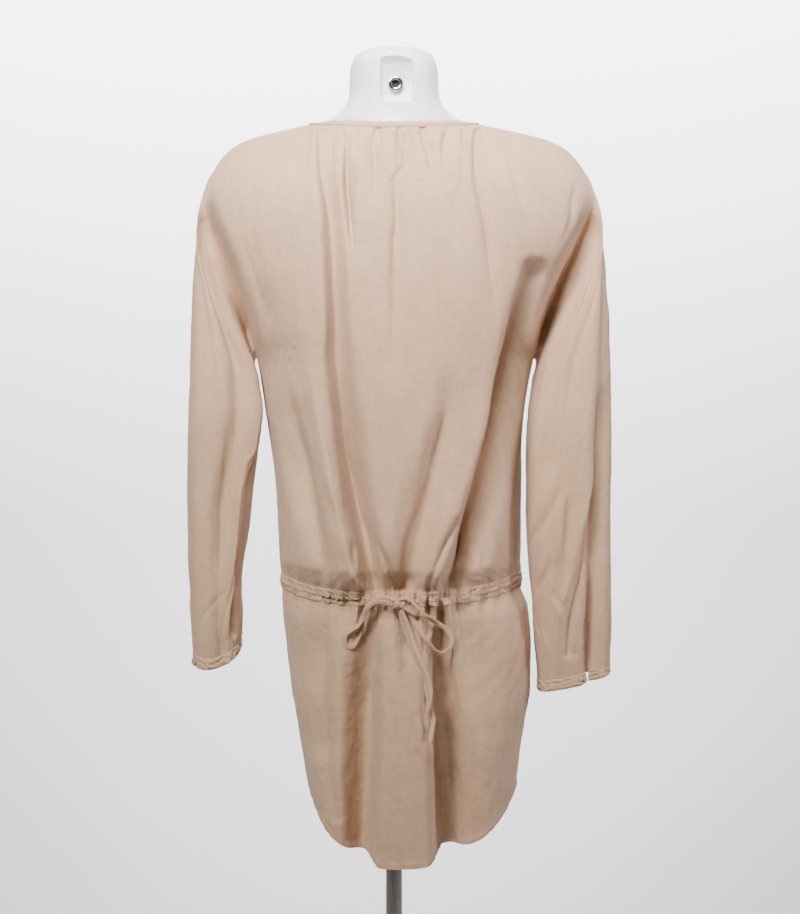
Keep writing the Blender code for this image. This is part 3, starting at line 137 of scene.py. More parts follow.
FRONT_SKIRT_ROWS = [
    (0.8605, 0.8765, 0.1285, 0.139, 0.104, 0.0, 2.2, 0.5),
    (0.853, 0.869, 0.1285, 0.14, 0.105, 0.0, 2.2, 0.5),
    (0.83, 0.845, 0.128, 0.151, 0.11, 0.0, 2.2, 0.5),
    (0.785, 0.798, 0.1225, 0.157, 0.115, 0.0, 2.2, 0.5),
    (0.745, 0.756, 0.118, 0.1565, 0.116, 0.0, 2.2, 0.5),
    (0.705, 0.716, 0.111, 0.1505, 0.115, 0.0, 2.2, 0.5),
    (0.665, 0.679, 0.105, 0.1445, 0.113, 0.0, 2.2, 0.5),
    (0.638, 0.656, 0.101, 0.142, 0.111, 0.0, 2.2, 0.5),
    (0.618, 0.64, 0.0965, 0.14, 0.109, 0.0, 2.2, 0.5),
]

# How far the front stands outside the side seams
SIDE_SWELL_COLUMNS = ("z", "left", "right")
SIDE_SWELL_ROWS = [
    (1.13, 0.0, 0.001), (1.05, 0.0, 0.01), (0.98, 0.003, 0.019), (0.93, 0.005, 0.021),
    (0.89, 0.004, 0.019), (0.86, 0.0, 0.014), (0.8, 0.0, 0.006), (0.7, 0.0, 0.0),
    (0.6, 0.0, 0.0),
]

# Folds: the line that each follows down the cloth, how far it stands out (in, when negative) along
# it, and how wide it is on its -X and +X sides
FOLD_COLUMNS = (
    "x_top", "z_top", "x_mid", "z_mid", "x_low", "z_low",
    "out_top", "out_mid", "out_low", "minus_width", "plus_width",
)
BACK_BODICE_FOLDS = [
    (-0.08, 1.378, -0.069, 1.275, -0.063, 1.155, -0.005, -0.019, -0.03, 0.0075, 0.011),
    (-0.063, 1.125, -0.047, 1.0, -0.02, 0.872, -0.026, -0.042, -0.032, 0.0095, 0.0145),
    (-0.093, 1.09, -0.074, 0.98, -0.046, 0.874, 0.004, 0.012, 0.014, 0.018, 0.011),
    (-0.115, 1.06, -0.101, 0.98, -0.074, 0.9, -0.006, -0.018, -0.008, 0.012, 0.018),
    (-0.055, 1.372, -0.049, 1.32, -0.048, 1.255, -0.003, -0.006, -0.001, 0.007, 0.007),
    (-0.023, 1.376, -0.024, 1.345, -0.024, 1.3, -0.004, -0.004, -0.001, 0.007, 0.007),
    (0.01, 1.376, 0.004, 1.29, 0.001, 1.13, -0.004, -0.006, -0.003, 0.01, 0.008),
    (0.036, 1.376, 0.042, 1.345, 0.044, 1.32, -0.004, -0.004, -0.001, 0.007, 0.007),
    (0.06, 1.376, 0.058, 1.345, 0.06, 1.31, -0.004, -0.004, -0.001, 0.007, 0.007),
    (0.091, 1.378, 0.104, 1.27, 0.113, 1.18, -0.004, -0.007, -0.002, 0.012, 0.011),
    (0.156, 1.215, 0.127, 1.08, 0.062, 0.874, -0.016, -0.052, -0.036, 0.011, 0.02),
    (0.13, 1.18, 0.095, 1.02, 0.045, 0.88, 0.003, 0.01, 0.009, 0.016, 0.012),
    (0.06, 1.08, 0.046, 1.01, 0.018, 0.88, -0.005, -0.019, -0.022, 0.011, 0.015),
    (0.02, 1.01, 0.01, 0.94, 0.002, 0.874, 0.0, -0.008, -0.01, 0.012, 0.012),
    (-0.01, 0.96, -0.006, 0.92, -0.002, 0.876, 0.002, 0.008, 0.01, 0.014, 0.014),
]
BACK_SKIRT_FOLDS = [
    (-0.023, 0.838, -0.027, 0.735, -0.033, 0.56, -0.014, -0.046, -0.054, 0.022, 0.0105),
    (0.046, 0.838, 0.0505, 0.735, 0.056, 0.56, -0.016, -0.054, -0.066, 0.0105, 0.027),
    (0.082, 0.846, 0.094, 0.79, 0.108, 0.72, -0.004, -0.012, -0.003, 0.016, 0.018),
    (-0.08, 0.846, -0.086, 0.79, -0.082, 0.7, -0.004, -0.014, -0.01, 0.016, 0.018),
    (0.012, 0.846, 0.014, 0.81, 0.015, 0.77, -0.007, -0.009, -0.002, 0.01, 0.01),
]
FRONT_FOLDS = [
    (-0.07, 1.15, -0.068, 1.02, -0.05, 0.872, -0.002, -0.008, -0.008, 0.016, 0.016),
    (0.074, 1.15, 0.07, 1.02, 0.052, 0.872, -0.002, -0.008, -0.008, 0.016, 0.016),
    (-0.104, 1.08, -0.1, 0.98, -0.084, 0.872, 0.0, -0.007, -0.006, 0.015, 0.015),
    (0.108, 1.08, 0.104, 0.98, 0.088, 0.872, 0.0, -0.007, -0.006, 0.015, 0.015),
    (-0.06, 0.85, -0.064, 0.74, -0.062, 0.61, -0.004, -0.016, -0.02, 0.016, 0.016),
    (0.066, 0.85, 0.074, 0.74, 0.078, 0.61, -0.004, -0.018, -0.022, 0.017, 0.017),
]

# Gathers: small even waves that die away from a seam
NECK_GATHERS = 14
NECK_GATHER_OUT = 0.005
NECK_GATHER_FADE = 0.03
WAIST_GATHER_LENGTH = 0.0155
WAIST_GATHER_OUT = 0.0036
WAIST_GATHER_FADE = 0.022
WAIST_GATHER_SPREAD = 0.075

# Lines that a panel's columns follow: their names, and where each lies at some heights
BODICE_LINES = (
    ("z", "minus_edge", "minus_fold", "middle", "plus_fold", "plus_edge"),
    [
        (1.387, -NECK_HALF, -0.06, 0.003, 0.066, NECK_HALF),
        (1.275, -0.12, -0.073, 0.001, 0.085, 0.125),
        (1.14, -0.118, -0.067, -0.002, 0.112, 0.14),
        (1.08, -0.113, -0.062, -0.004, 0.116, 0.136),
        (0.98, -0.105, -0.05, -0.006, 0.09, 0.117),
        (0.86, -0.09, -0.024, 0.005, 0.05, 0.095),
    ],
)
SKIRT_LINES = (
    ("z", "minus_side", "minus_valley", "ridge_minus", "ridge_plus", "plus_valley", "plus_side"),
    [
        (0.86, -0.072, -0.029, -0.01, 0.024, 0.046, 0.08),
        (0.735, -0.072, -0.044, -0.024, 0.028, 0.051, 0.086),
        (0.56, -0.072, -0.046, -0.026, 0.032, 0.056, 0.09),
    ],
)

# Creases, sharper than the folds: their widths on the -X and +X sides, and where each runs, with how
# far it stands out (in, when negative), as x, z and out from its top down
BODICE_CREASES = [
    (0.0026, 0.0026, [(-0.085, 1.386, -0.0034), (-0.083, 1.358, -0.0051), (-0.081, 1.33, -0.0051),
        (-0.073, 1.292, -0.0037), (-0.069, 1.264, -0.0011)]),
    (0.0026, 0.0034, [(-0.065, 1.385, -0.0041), (-0.07, 1.372, -0.0055), (-0.069, 1.352, -0.0041),
        (-0.062, 1.332, 0)]),
    (0.0029, 0.0034, [(-0.059, 1.385, -0.0034), (-0.052, 1.361, -0.0064), (-0.052, 1.327, -0.0106),
        (-0.049, 1.288, -0.0124), (-0.046, 1.257, -0.0069), (-0.044, 1.235, 0)]),
    (0.0034, 0.0034, [(-0.042, 1.383, -0.0028), (-0.042, 1.366, -0.0037), (-0.036, 1.343, 0)]),
    (0.0034, 0.0043, [(-0.02, 1.383, -0.0041), (-0.023, 1.365, -0.0074), (-0.02, 1.335, -0.0069),
        (-0.022, 1.3, 0)]),
    (0.0014, 0.0014, [(-0.015, 1.385, -0.0028), (-0.015, 1.367, -0.0018), (-0.015, 1.363, 0)]),
    (0.0015, 0.0015, [(-0.008, 1.385, -0.0028), (-0.008, 1.367, -0.0018), (-0.007, 1.361, 0)]),
    (0.0034, 0.0034, [(0.006, 1.383, -0.0034), (0.011, 1.363, -0.0071), (0.013, 1.345, -0.0067),
        (0.003, 1.327, -0.0034), (-0.003, 1.316, 0)]),
    (0.003, 0.005, [(-0.005, 1.327, 0), (-0.001, 1.316, -0.002), (0.001, 1.302, -0.0043),
        (0.003, 1.274, -0.0055), (0.0, 1.255, -0.0034), (-0.0, 1.223, -0.002),
        (-0.001, 1.155, -0.0012), (-0.002, 1.11, 0)]),
    (0.0026, 0.0026, [(0.017, 1.383, -0.0023), (0.015, 1.37, -0.0028), (0.024, 1.353, 0)]),
    (0.0026, 0.0034, [(0.031, 1.385, -0.0046), (0.033, 1.369, -0.006), (0.039, 1.35, -0.0051),
        (0.041, 1.339, -0.0037), (0.047, 1.325, 0)]),
    (0.0014, 0.0014, [(0.035, 1.385, -0.0028), (0.034, 1.375, -0.0023), (0.033, 1.365, 0)]),
    (0.0026, 0.003, [(0.058, 1.383, -0.0041), (0.055, 1.366, -0.0055), (0.054, 1.352, -0.0037),
        (0.06, 1.326, 0)]),
    (0.0051, 0.0051, [(0.068, 1.381, -0.0018), (0.069, 1.366, -0.0023), (0.077, 1.341, -0.0037),
        (0.074, 1.316, -0.0032), (0.067, 1.292, -0.0032), (0.07, 1.257, -0.0028), (0.079, 1.23, 0)]),
    (0.0017, 0.0017, [(0.078, 1.383, -0.0028), (0.076, 1.372, -0.0023), (0.079, 1.363, 0)]),
    (0.0022, 0.0029, [(0.093, 1.385, -0.0037), (0.09, 1.372, -0.006), (0.089, 1.338, -0.0083),
        (0.094, 1.302, -0.0074), (0.1, 1.264, -0.006), (0.106, 1.223, -0.0037), (0.108, 1.188, 0)]),
    (0.0017, 0.0017, [(0.1, 1.383, -0.0023), (0.103, 1.372, 0)]),
    (0.0034, 0.0034, [(-0.096, 1.379, -0.0023), (-0.099, 1.36, 0)]),
    (0.0017, 0.0017, [(-0.091, 1.383, -0.0018), (-0.094, 1.367, 0)]),
    (0.009, 0.009, [(0.119, 1.311, 0), (0.124, 1.283, -0.0021), (0.128, 1.235, -0.0021), (0.13, 1.199, 0)]),
    (0.0059, 0.0059, [(0.131, 1.358, 0), (0.134, 1.332, -0.0032), (0.141, 1.304, -0.0051),
        (0.149, 1.291, -0.0037), (0.152, 1.264, 0)]),
    (0.004, 0.004, [(0.147, 1.325, 0), (0.149, 1.311, -0.0021), (0.152, 1.295, 0)]),
    (0.004, 0.006, [(0.207, 1.327, 0), (0.203, 1.311, -0.0034), (0.201, 1.286, -0.0042),
        (0.193, 1.266, -0.0026), (0.185, 1.251, 0)]),
    (0.008, 0.008, [(-0.178, 1.3, 0), (-0.168, 1.255, -0.0018), (-0.148, 1.188, -0.0029),
        (-0.139, 1.155, 0)]),
    (0.007, 0.007, [(-0.163, 1.311, 0), (-0.153, 1.244, -0.0016), (-0.137, 1.188, -0.0021),
        (-0.128, 1.149, 0)]),
    (0.012, 0.012, [(-0.115, 1.155, 0), (-0.102, 1.101, -0.0044), (-0.091, 1.034, -0.0065),
        (-0.078, 0.984, -0.0049), (-0.061, 0.944, -0.007), (-0.049, 0.896, -0.0052),
        (-0.046, 0.876, -0.0026)]),
    (0.007, 0.008, [(-0.13, 1.155, 0), (-0.119, 1.079, -0.0029), (-0.111, 1.014, -0.0034),
        (-0.102, 0.938, -0.0023), (-0.097, 0.894, 0)]),
    (0.005, 0.005, [(-0.102, 1.155, 0), (-0.089, 1.095, 0.0021), (-0.077, 1.034, 0.0044),
        (-0.067, 0.984, 0.0055), (-0.056, 0.934, 0.006), (-0.044, 0.889, 0.0044),
        (-0.035, 0.872, 0.0018)]),
    (0.007, 0.005, [(-0.065, 1.188, 0), (-0.06, 1.095, -0.0047), (-0.055, 1.034, -0.0073),
        (-0.046, 0.994, -0.0083), (-0.037, 0.954, -0.0083), (-0.027, 0.921, -0.0065),
        (-0.025, 0.885, -0.0026)]),
    (0.003, 0.003, [(-0.046, 0.927, 0), (-0.044, 0.913, -0.0052), (-0.043, 0.897, -0.0057),
        (-0.037, 0.879, -0.0026)]),
    (0.0024, 0.0024, [(-0.035, 0.889, 0), (-0.031, 0.878, -0.0031), (-0.027, 0.867, -0.0018)]),
    (0.0036, 0.005, [(-0.025, 0.949, 0), (-0.018, 0.923, -0.0044), (-0.009, 0.904, -0.0065),
        (0.004, 0.871, -0.0073)]),
    (0.009, 0.009, [(0.042, 1.068, 0), (0.037, 1.025, -0.0052), (0.031, 0.994, -0.007),
        (0.023, 0.954, -0.0083), (0.013, 0.914, -0.0083), (0.007, 0.874, -0.0052)]),
    (0.0045, 0.0055, [(0.06, 1.101, 0), (0.057, 1.077, -0.0034), (0.051, 1.046, -0.0044),
        (0.047, 1.025, -0.0034), (0.044, 1.001, 0)]),
    (0.0024, 0.0024, [(0.04, 0.981, 0), (0.046, 0.964, -0.0013), (0.052, 0.951, 0)]),
    (0.005, 0.004, [(0.072, 0.955, 0), (0.067, 0.942, -0.007), (0.057, 0.923, -0.0112),
        (0.047, 0.899, -0.0104), (0.039, 0.874, -0.0052)]),
    (0.003, 0.003, [(0.079, 0.953, 0), (0.073, 0.941, 0.0031), (0.064, 0.918, 0.0034),
        (0.052, 0.892, 0.0026), (0.046, 0.874, 0)]),
    (0.0055, 0.009, [(0.15, 1.23, 0), (0.138, 1.188, -0.0039), (0.126, 1.155, -0.0065),
        (0.114, 1.095, -0.0091), (0.102, 1.034, -0.0091), (0.091, 0.984, -0.0091), (0.079, 0.934, -0.0086),
        (0.067, 0.904, -0.0065), (0.053, 0.874, -0.0026)]),
    (0.005, 0.004, [(0.145, 1.166, 0), (0.138, 1.131, 0.0026), (0.124, 1.055, 0.0042),
        (0.109, 0.984, 0.0047), (0.09, 0.938, 0.0049), (0.071, 0.897, 0.0042), (0.059, 0.875, 0.0021)]),
    (0.007, 0.007, [(0.118, 1.003, 0), (0.112, 0.97, -0.0034), (0.098, 0.918, -0.0031), (0.088, 0.888, 0)]),
    (0.004, 0.004, [(0.094, 0.927, 0), (0.087, 0.905, -0.0021), (0.079, 0.887, -0.0018), (0.075, 0.876, 0)]),
    (0.003, 0.003, [(0.109, 0.921, 0), (0.103, 0.905, -0.0016), (0.099, 0.889, 0)]),
    (0.006, 0.006, [(0.0, 1.046, 0), (-0.003, 0.992, -0.0021), (-0.005, 0.949, -0.0021),
        (-0.008, 0.914, 0)]),
]


SKIRT_CREASES = [
    (0.003, 0.003, [(-0.014, 0.856, -0.0026), (-0.013, 0.841, -0.0022), (-0.012, 0.828, 0)]),
    (0.004, 0.005, [(0.001, 0.854, -0.0048), (0.005, 0.841, -0.0064), (0.009, 0.83, -0.0026),
        (0.01, 0.823, 0)]),
    (0.005, 0.005, [(0.015, 0.821, 0), (0.017, 0.811, -0.0045), (0.022, 0.801, -0.0022), (0.023, 0.791, 0)]),
    (0.002, 0.002, [(-0.022, 0.857, -0.0026), (-0.022, 0.844, 0)]),
    (0.002, 0.002, [(-0.006, 0.855, -0.0026), (-0.005, 0.843, 0)]),
    (0.004, 0.004, [(0.039, 0.865, 0.0016), (0.046, 0.849, 0.0067), (0.046, 0.833, 0.008),
        (0.04, 0.811, 0.0058), (0.037, 0.787, 0.0026), (0.036, 0.762, 0)]),
    (0.003, 0.003, [(0.033, 0.865, -0.0016), (0.038, 0.849, -0.0058), (0.037, 0.832, -0.007),
        (0.033, 0.808, -0.0048), (0.033, 0.786, 0)]),
    (0.0044, 0.0044, [(0.051, 0.867, 0.0016), (0.059, 0.852, 0.0064), (0.063, 0.833, 0.008),
        (0.064, 0.807, 0.007), (0.068, 0.774, 0.0054), (0.076, 0.722, 0.0032), (0.083, 0.665, 0)]),
    (0.004, 0.005, [(0.049, 0.858, -0.0026), (0.051, 0.844, -0.008), (0.053, 0.814, -0.0102),
        (0.051, 0.774, -0.0048), (0.057, 0.73, 0)]),
    (0.005, 0.006, [(0.067, 0.869, -0.0016), (0.073, 0.847, -0.0054), (0.077, 0.817, -0.0064),
        (0.083, 0.773, -0.0054), (0.094, 0.722, -0.0029), (0.101, 0.686, 0)]),
    (0.004, 0.004, [(-0.037, 0.86, 0.001), (-0.04, 0.847, 0.0042), (-0.042, 0.83, 0.0035),
        (-0.044, 0.806, 0)]),
    (0.004, 0.004, [(-0.03, 0.858, -0.001), (-0.031, 0.841, -0.0058), (-0.032, 0.826, -0.0054),
        (-0.037, 0.801, 0)]),
    (0.006, 0.006, [(-0.071, 0.863, -0.0016), (-0.073, 0.841, -0.0032), (-0.08, 0.801, -0.0026),
        (-0.083, 0.762, 0)]),
    (0.005, 0.005, [(-0.058, 0.863, -0.0019), (-0.058, 0.844, -0.0029), (-0.061, 0.817, 0)]),
    (0.003, 0.003, [(-0.066, 0.863, -0.0022), (-0.067, 0.849, -0.0013), (-0.067, 0.839, 0)]),
    (0.003, 0.003, [(-0.078, 0.864, -0.0019), (-0.078, 0.852, -0.001), (-0.079, 0.843, 0)]),
    (0.003, 0.003, [(-0.051, 0.863, -0.0026), (-0.051, 0.849, -0.0013), (-0.052, 0.834, 0)]),
    (0.007, 0.007, [(0.101, 0.874, -0.0013), (0.104, 0.847, -0.0026), (0.109, 0.795, -0.0032),
        (0.113, 0.752, 0)]),
    (0.008, 0.008, [(-0.089, 0.752, 0), (-0.083, 0.703, -0.0038), (-0.074, 0.654, -0.0048),
        (-0.066, 0.616, -0.0032)]),
]

# Sleeves: sections from just under the armhole to the cuff, with positions away from the middle
SLEEVE_COLUMNS = ("z", "near", "far", "back", "front")
LEFT_SLEEVE_ROWS = [
    (1.1, 0.1555, 0.2345, -0.056, 0.058), (1.07, 0.1515, 0.2362, -0.056, 0.058),
    (1.02, 0.157, 0.2375, -0.052, 0.056), (0.94, 0.1665, 0.2375, -0.044, 0.052),
    (0.87, 0.1755, 0.2348, -0.036, 0.046), (0.84, 0.174, 0.233, -0.031, 0.042),
    (0.815, 0.176, 0.231, -0.026, 0.038),
]
RIGHT_SLEEVE_ROWS = [
    (1.1, 0.1585, 0.249, -0.056, 0.06), (1.07, 0.154, 0.25, -0.057, 0.06),
    (1.02, 0.1515, 0.2498, -0.058, 0.06), (0.94, 0.152, 0.2486, -0.056, 0.054),
    (0.87, 0.158, 0.249, -0.052, 0.044), (0.82, 0.1615, 0.2495, -0.046, 0.038),
    (0.785, 0.165, 0.2475, -0.04, 0.034),
]
# Sleeve folds: the angle round the sleeve (0 away from the body, 90 at the back, 180 at the body)
SLEEVE_FOLD_COLUMNS = ("angle_top", "z_top", "angle_low", "z_low", "out", "minus_width", "plus_width")
LEFT_SLEEVE_FOLDS = [
    (124, 1.19, 112, 0.94, -0.011, 22, 18), (152, 1.11, 152, 1.03, 0.006, 16, 16),
    (66, 1.15, 78, 0.9, -0.004, 18, 20), (98, 0.96, 104, 0.83, -0.006, 16, 14),
    (250, 1.15, 255, 0.85, -0.006, 22, 22), (300, 1.05, 295, 0.85, -0.004, 18, 18),
]
RIGHT_SLEEVE_FOLDS = [
    (122, 1.2, 122, 1.02, -0.009, 20, 18), (42, 1.06, 66, 0.8, -0.017, 16, 13),
    (90, 1.15, 100, 0.9, -0.005, 14, 14), (250, 1.15, 250, 0.85, -0.006, 22, 22),
    (305, 1.05, 300, 0.83, -0.004, 18, 18),
]

# Sleeve creases: their widths in degrees, and where each runs, as angle, height and out
LEFT_SLEEVE_CREASES = [
    (3.0, 3.0, [(177, 1.087, 0.0004), (152, 1.072, 0.0013), (148, 1.025, 0.0017), (137, 1.008, 0.002),
        (138, 0.994, 0.002), (135, 0.978, 0.0019), (135, 0.955, 0.0017), (135, 0.902, 0.0017),
        (128, 0.875, 0.0017), (115, 0.849, 0.0016), (101, 0.821, 0.0013)]),
    (6.0, 8.0, [(161, 1.054, -0.0006), (158, 1.019, -0.0023), (150, 0.991, -0.0026), (152, 0.959, -0.002),
        (153, 0.911, -0.002), (146, 0.891, -0.0023)]),
    (4.0, 13.0, [(149, 0.893, 0), (148, 0.873, -0.0049), (136, 0.846, -0.0087), (131, 0.816, -0.0101)]),
    (6.0, 4.0, [(139, 0.892, 0), (135, 0.867, 0.0023), (123, 0.839, 0.0032), (117, 0.814, 0.002)]),
    (16.0, 14.0, [(91, 1.081, 0), (102, 1.036, -0.0026), (106, 1.003, -0.0038), (99, 0.961, -0.0023),
        (80, 0.913, 0)]),
    (12.0, 12.0, [(68, 1.25, 0), (78, 1.16, -0.0023), (75, 1.059, -0.0014), (70, 0.972, 0)]),
    (6.0, 6.0, [(127, 0.869, 0), (94, 0.852, -0.0017), (67, 0.835, -0.0012), (51, 0.824, 0)]),
    (10.0, 8.0, [(92, 1.265, 0), (107, 1.205, -0.0035), (121, 1.149, -0.0043), (132, 1.098, -0.002),
        (131, 1.07, 0)]),
]


RIGHT_SLEEVE_CREASES = [
    (4.0, 7.0, [(50, 1.048, 0.0006), (58, 1.009, 0.0026), (74, 0.953, 0.0041), (90, 0.892, 0.0046),
        (99, 0.866, 0.0049), (108, 0.848, 0.0043), (112, 0.823, 0.0023), (114, 0.794, 0.0006)]),
    (6.0, 5.0, [(46, 1.028, -0.0014), (55, 0.986, -0.0049), (66, 0.935, -0.0067), (78, 0.891, -0.0072),
        (87, 0.865, -0.0078), (96, 0.83, -0.0078), (101, 0.793, -0.0043)]),
    (3.5, 3.5, [(123, 0.866, 0), (114, 0.859, -0.0032), (109, 0.851, -0.0035), (109, 0.84, 0)]),
    (3.5, 3.5, [(127, 0.859, 0), (117, 0.853, 0.002), (113, 0.843, 0.002), (113, 0.828, 0)]),
    (9.0, 9.0, [(126, 1.053, 0), (130, 1.028, -0.0023), (140, 0.981, -0.0035), (151, 0.946, -0.002)]),
    (7.0, 7.0, [(102, 0.986, 0), (110, 0.971, -0.0032), (126, 0.946, -0.0038), (153, 0.925, -0.0023),
        (166, 0.914, 0)]),
    (6.0, 6.0, [(97, 0.981, 0), (93, 0.96, -0.0026), (94, 0.929, -0.0035), (101, 0.901, -0.0038),
        (98, 0.88, -0.002), (98, 0.872, 0)]),
    (4.0, 4.0, [(99, 0.988, 0), (100, 0.971, 0.002), (103, 0.919, 0.0023), (100, 0.888, 0.0023),
        (99, 0.87, 0)]),
    (6.0, 6.0, [(118, 0.904, 0), (124, 0.89, -0.0032), (142, 0.872, -0.0038), (149, 0.858, 0)]),
    (2.6, 2.6, [(172, 0.849, 0), (168, 0.837, -0.0023), (154, 0.824, -0.0026), (145, 0.813, -0.0014),
        (141, 0.804, 0)]),
    (4.0, 4.0, [(160, 0.829, 0), (144, 0.819, 0.0014), (135, 0.799, 0.0009)]),
    (7.0, 7.0, [(88, 1.31, 0), (94, 1.261, -0.002), (101, 1.194, -0.0026), (110, 1.137, 0)]),
    (6.0, 6.0, [(67, 1.25, 0), (79, 1.194, -0.0023), (91, 1.137, -0.0032), (100, 1.081, -0.0023),
        (111, 1.047, 0)]),
    (9.0, 9.0, [(116, 1.222, 0), (127, 1.183, -0.0032), (143, 1.138, -0.0043), (154, 1.093, -0.0029),
        (153, 1.059, 0)]),
    (3.0, 3.0, [(87, 0.835, 0), (87, 0.821, -0.002), (90, 0.794, -0.0029)]),
    (7.0, 7.0, [(42, 0.904, 0), (52, 0.862, -0.0017), (59, 0.82, -0.0023), (63, 0.789, -0.0012)]),
    (5.0, 5.0, [(67, 0.843, 0), (73, 0.822, -0.0017), (75, 0.798, -0.0017)]),
]
SLEEVE_SIDES = {"left": -1, "right": 1}
CUFF_TILT = {"left": (-0.014, 0.036), "right": (0.02, 0.006)}
SLEEVE_END = {"left": 0.815, "right": 0.785}
SLIT_ANGLE = {"left": 24.0, "right": 66.0}

# Bow: the middle and half size of its knot, and each string's route from the knot outwards
KNOT = (0.0065, -0.1181, 0.8565)
KNOT_HALF = (0.0078, 0.005, 0.0056)
BOW_ROUTES = {
    "bow_loop_left": [
        (-0.0012, -0.1161, 0.8583), (-0.0101, -0.117, 0.8621), (-0.0194, -0.1155, 0.86),
        (-0.0276, -0.1138, 0.8538), (-0.0332, -0.1072, 0.8413), (-0.036, -0.1053, 0.829),
        (-0.0399, -0.1042, 0.8168), (-0.0453, -0.1051, 0.8087), (-0.0515, -0.1072, 0.8083),
        (-0.0541, -0.1086, 0.8156), (-0.0515, -0.1105, 0.8234), (-0.0452, -0.1117, 0.8282),
        (-0.0383, -0.1112, 0.8328), (-0.0341, -0.1126, 0.84), (-0.0296, -0.1182, 0.8509),
        (-0.0204, -0.1201, 0.8578), (-0.01, -0.1219, 0.8581), (-0.0016, -0.1212, 0.855),
    ],
    "bow_loop_right": [
        (0.0137, -0.1201, 0.853), (0.0244, -0.1178, 0.8484), (0.0342, -0.1176, 0.8432),
        (0.0473, -0.1046, 0.8345), (0.0592, -0.1013, 0.8259), (0.0642, -0.1014, 0.8155),
        (0.0606, -0.1021, 0.8051), (0.0526, -0.1023, 0.8007), (0.0442, -0.1093, 0.8047),
        (0.0367, -0.115, 0.8145), (0.0288, -0.1159, 0.8261), (0.0217, -0.1143, 0.8379),
        (0.0124, -0.1134, 0.8532),
    ],
    "bow_tail_outer": [
        (0.0081, -0.1191, 0.8499), (0.014, -0.1188, 0.8359), (0.02, -0.12, 0.8192),
        (0.0274, -0.1232, 0.7999), (0.0349, -0.1236, 0.7836), (0.0389, -0.123, 0.7692),
        (0.0397, -0.1238, 0.755), (0.037, -0.1238, 0.7421), (0.0355, -0.1224, 0.73),
        (0.037, -0.1215, 0.719),
    ],
    "bow_tail_inner": [
        (0.0054, -0.1135, 0.8512), (0.0112, -0.1134, 0.833), (0.0164, -0.1146, 0.8188),
        (0.0229, -0.1186, 0.8028), (0.0298, -0.1202, 0.7866), (0.0348, -0.119, 0.7712),
        (0.0364, -0.1186, 0.757), (0.0404, -0.1172, 0.7436), (0.043, -0.1173, 0.7305),
        (0.0418, -0.1217, 0.719), (0.039, -0.1263, 0.7065),
    ],
}

# Dress form: height, half width, depth at the back and at the front, and how pointed its outline is
FORM_COLUMNS = ("z", "half", "back", "front", "pointed")
FORM_ROWS = [
    (0.93, 0.108, -0.068, 0.08, 0.5), (0.945, 0.116, -0.076, 0.088, 0.5),
    (0.99, 0.114, -0.078, 0.09, 0.5), (1.04, 0.12, -0.088, 0.096, 0.5),
    (1.1, 0.134, -0.1, 0.108, 0.5), (1.15, 0.145, -0.108, 0.115, 0.5),
    (1.19, 0.154, -0.11, 0.115, 0.5), (1.235, 0.17, -0.109, 0.107, 0.5),
    (1.275, 0.188, -0.105, 0.09, 0.5), (1.31, 0.204, -0.096, 0.071, 0.5),
    (1.335, 0.206, -0.086, 0.059, 0.6), (1.355, 0.196, -0.077, 0.051, 0.8),
    (1.368, 0.18, -0.07, 0.047, 1.4), (1.378, 0.158, -0.063, 0.045, 1.8),
    (1.388, 0.124, -0.057, 0.044, 1.9), (1.3955, 0.099, -0.054, 0.044, 1.5),
    (1.402, 0.08, -0.052, 0.046, 0.8), (1.41, 0.067, -0.051, 0.048, 0.6),
    (1.419, 0.057, -0.051, 0.05, 0.5), (1.432, 0.052, -0.051, 0.052, 0.5),
    (1.46, 0.0503, -0.051, 0.052, 0.5), (1.475, 0.046, -0.046, 0.047, 0.5),
    (1.482, 0.037, -0.037, 0.038, 0.5), (1.485, 0.022, -0.022, 0.023, 0.5),
]
NECK_FOOT = 1.4
NICHE = {"x": 0.003, "half": 0.0185, "low": 1.417, "high": 1.466, "depth": 0.014}
EYELET = {"x": 0.002, "z": 1.439, "outer": 0.0085, "hole": 0.005, "length": 0.005, "blind": 0.003}


def columns(names, rows):
    """A table as one array for each named column."""
    return {name: np.array(values, float) for name, values in zip(names, zip(*rows))}


def smooth(at, places, values):
    """A smooth curve through a table's values, which never swings past them."""
    places, values = np.asarray(places, float), np.asarray(values, float)
    if places[0] > places[-1]:
        places, values = places[::-1], values[::-1]
    step = np.diff(places)
    slope = np.diff(values) / step
    bend = np.concatenate([[slope[0]], np.zeros(len(values) - 2), [slope[-1]]])
    before, after = slope[:-1], slope[1:]
    same_way = before * after > 0
    total = np.where(same_way, before + after, 1.0)
    bend[1:-1] = np.where(same_way, 2 * before * after / total, 0.0)
    at = np.clip(np.asarray(at, float), places[0], places[-1])
    k = np.clip(np.searchsorted(places, at) - 1, 0, len(step) - 1)
    t = (at - places[k]) / step[k]
    start = (1 + 2 * t) * (1 - t) ** 2 * values[k] + t * (1 - t) ** 2 * step[k] * bend[k]
    return start + t * t * (3 - 2 * t) * values[k + 1] - t * t * (1 - t) * step[k] * bend[k + 1]


def ease(value):
    """A smooth step from 0 to 1."""
    t = np.clip(value, 0.0, 1.0)
    return t * t * (3 - 2 * t)


def run_along(line):
    """How far along a line of points each point lies."""
    return np.concatenate([[0], np.cumsum(np.linalg.norm(np.diff(line, axis=0), axis=1))])


def points_at(places, along, line):
    """The points of a line at these places along it."""
    return np.stack([np.interp(places, along, line[:, k]) for k in range(3)], axis=1)


def unit(vectors):
    return vectors / np.maximum(np.linalg.norm(vectors, axis=-1, keepdims=True), 1e-12)


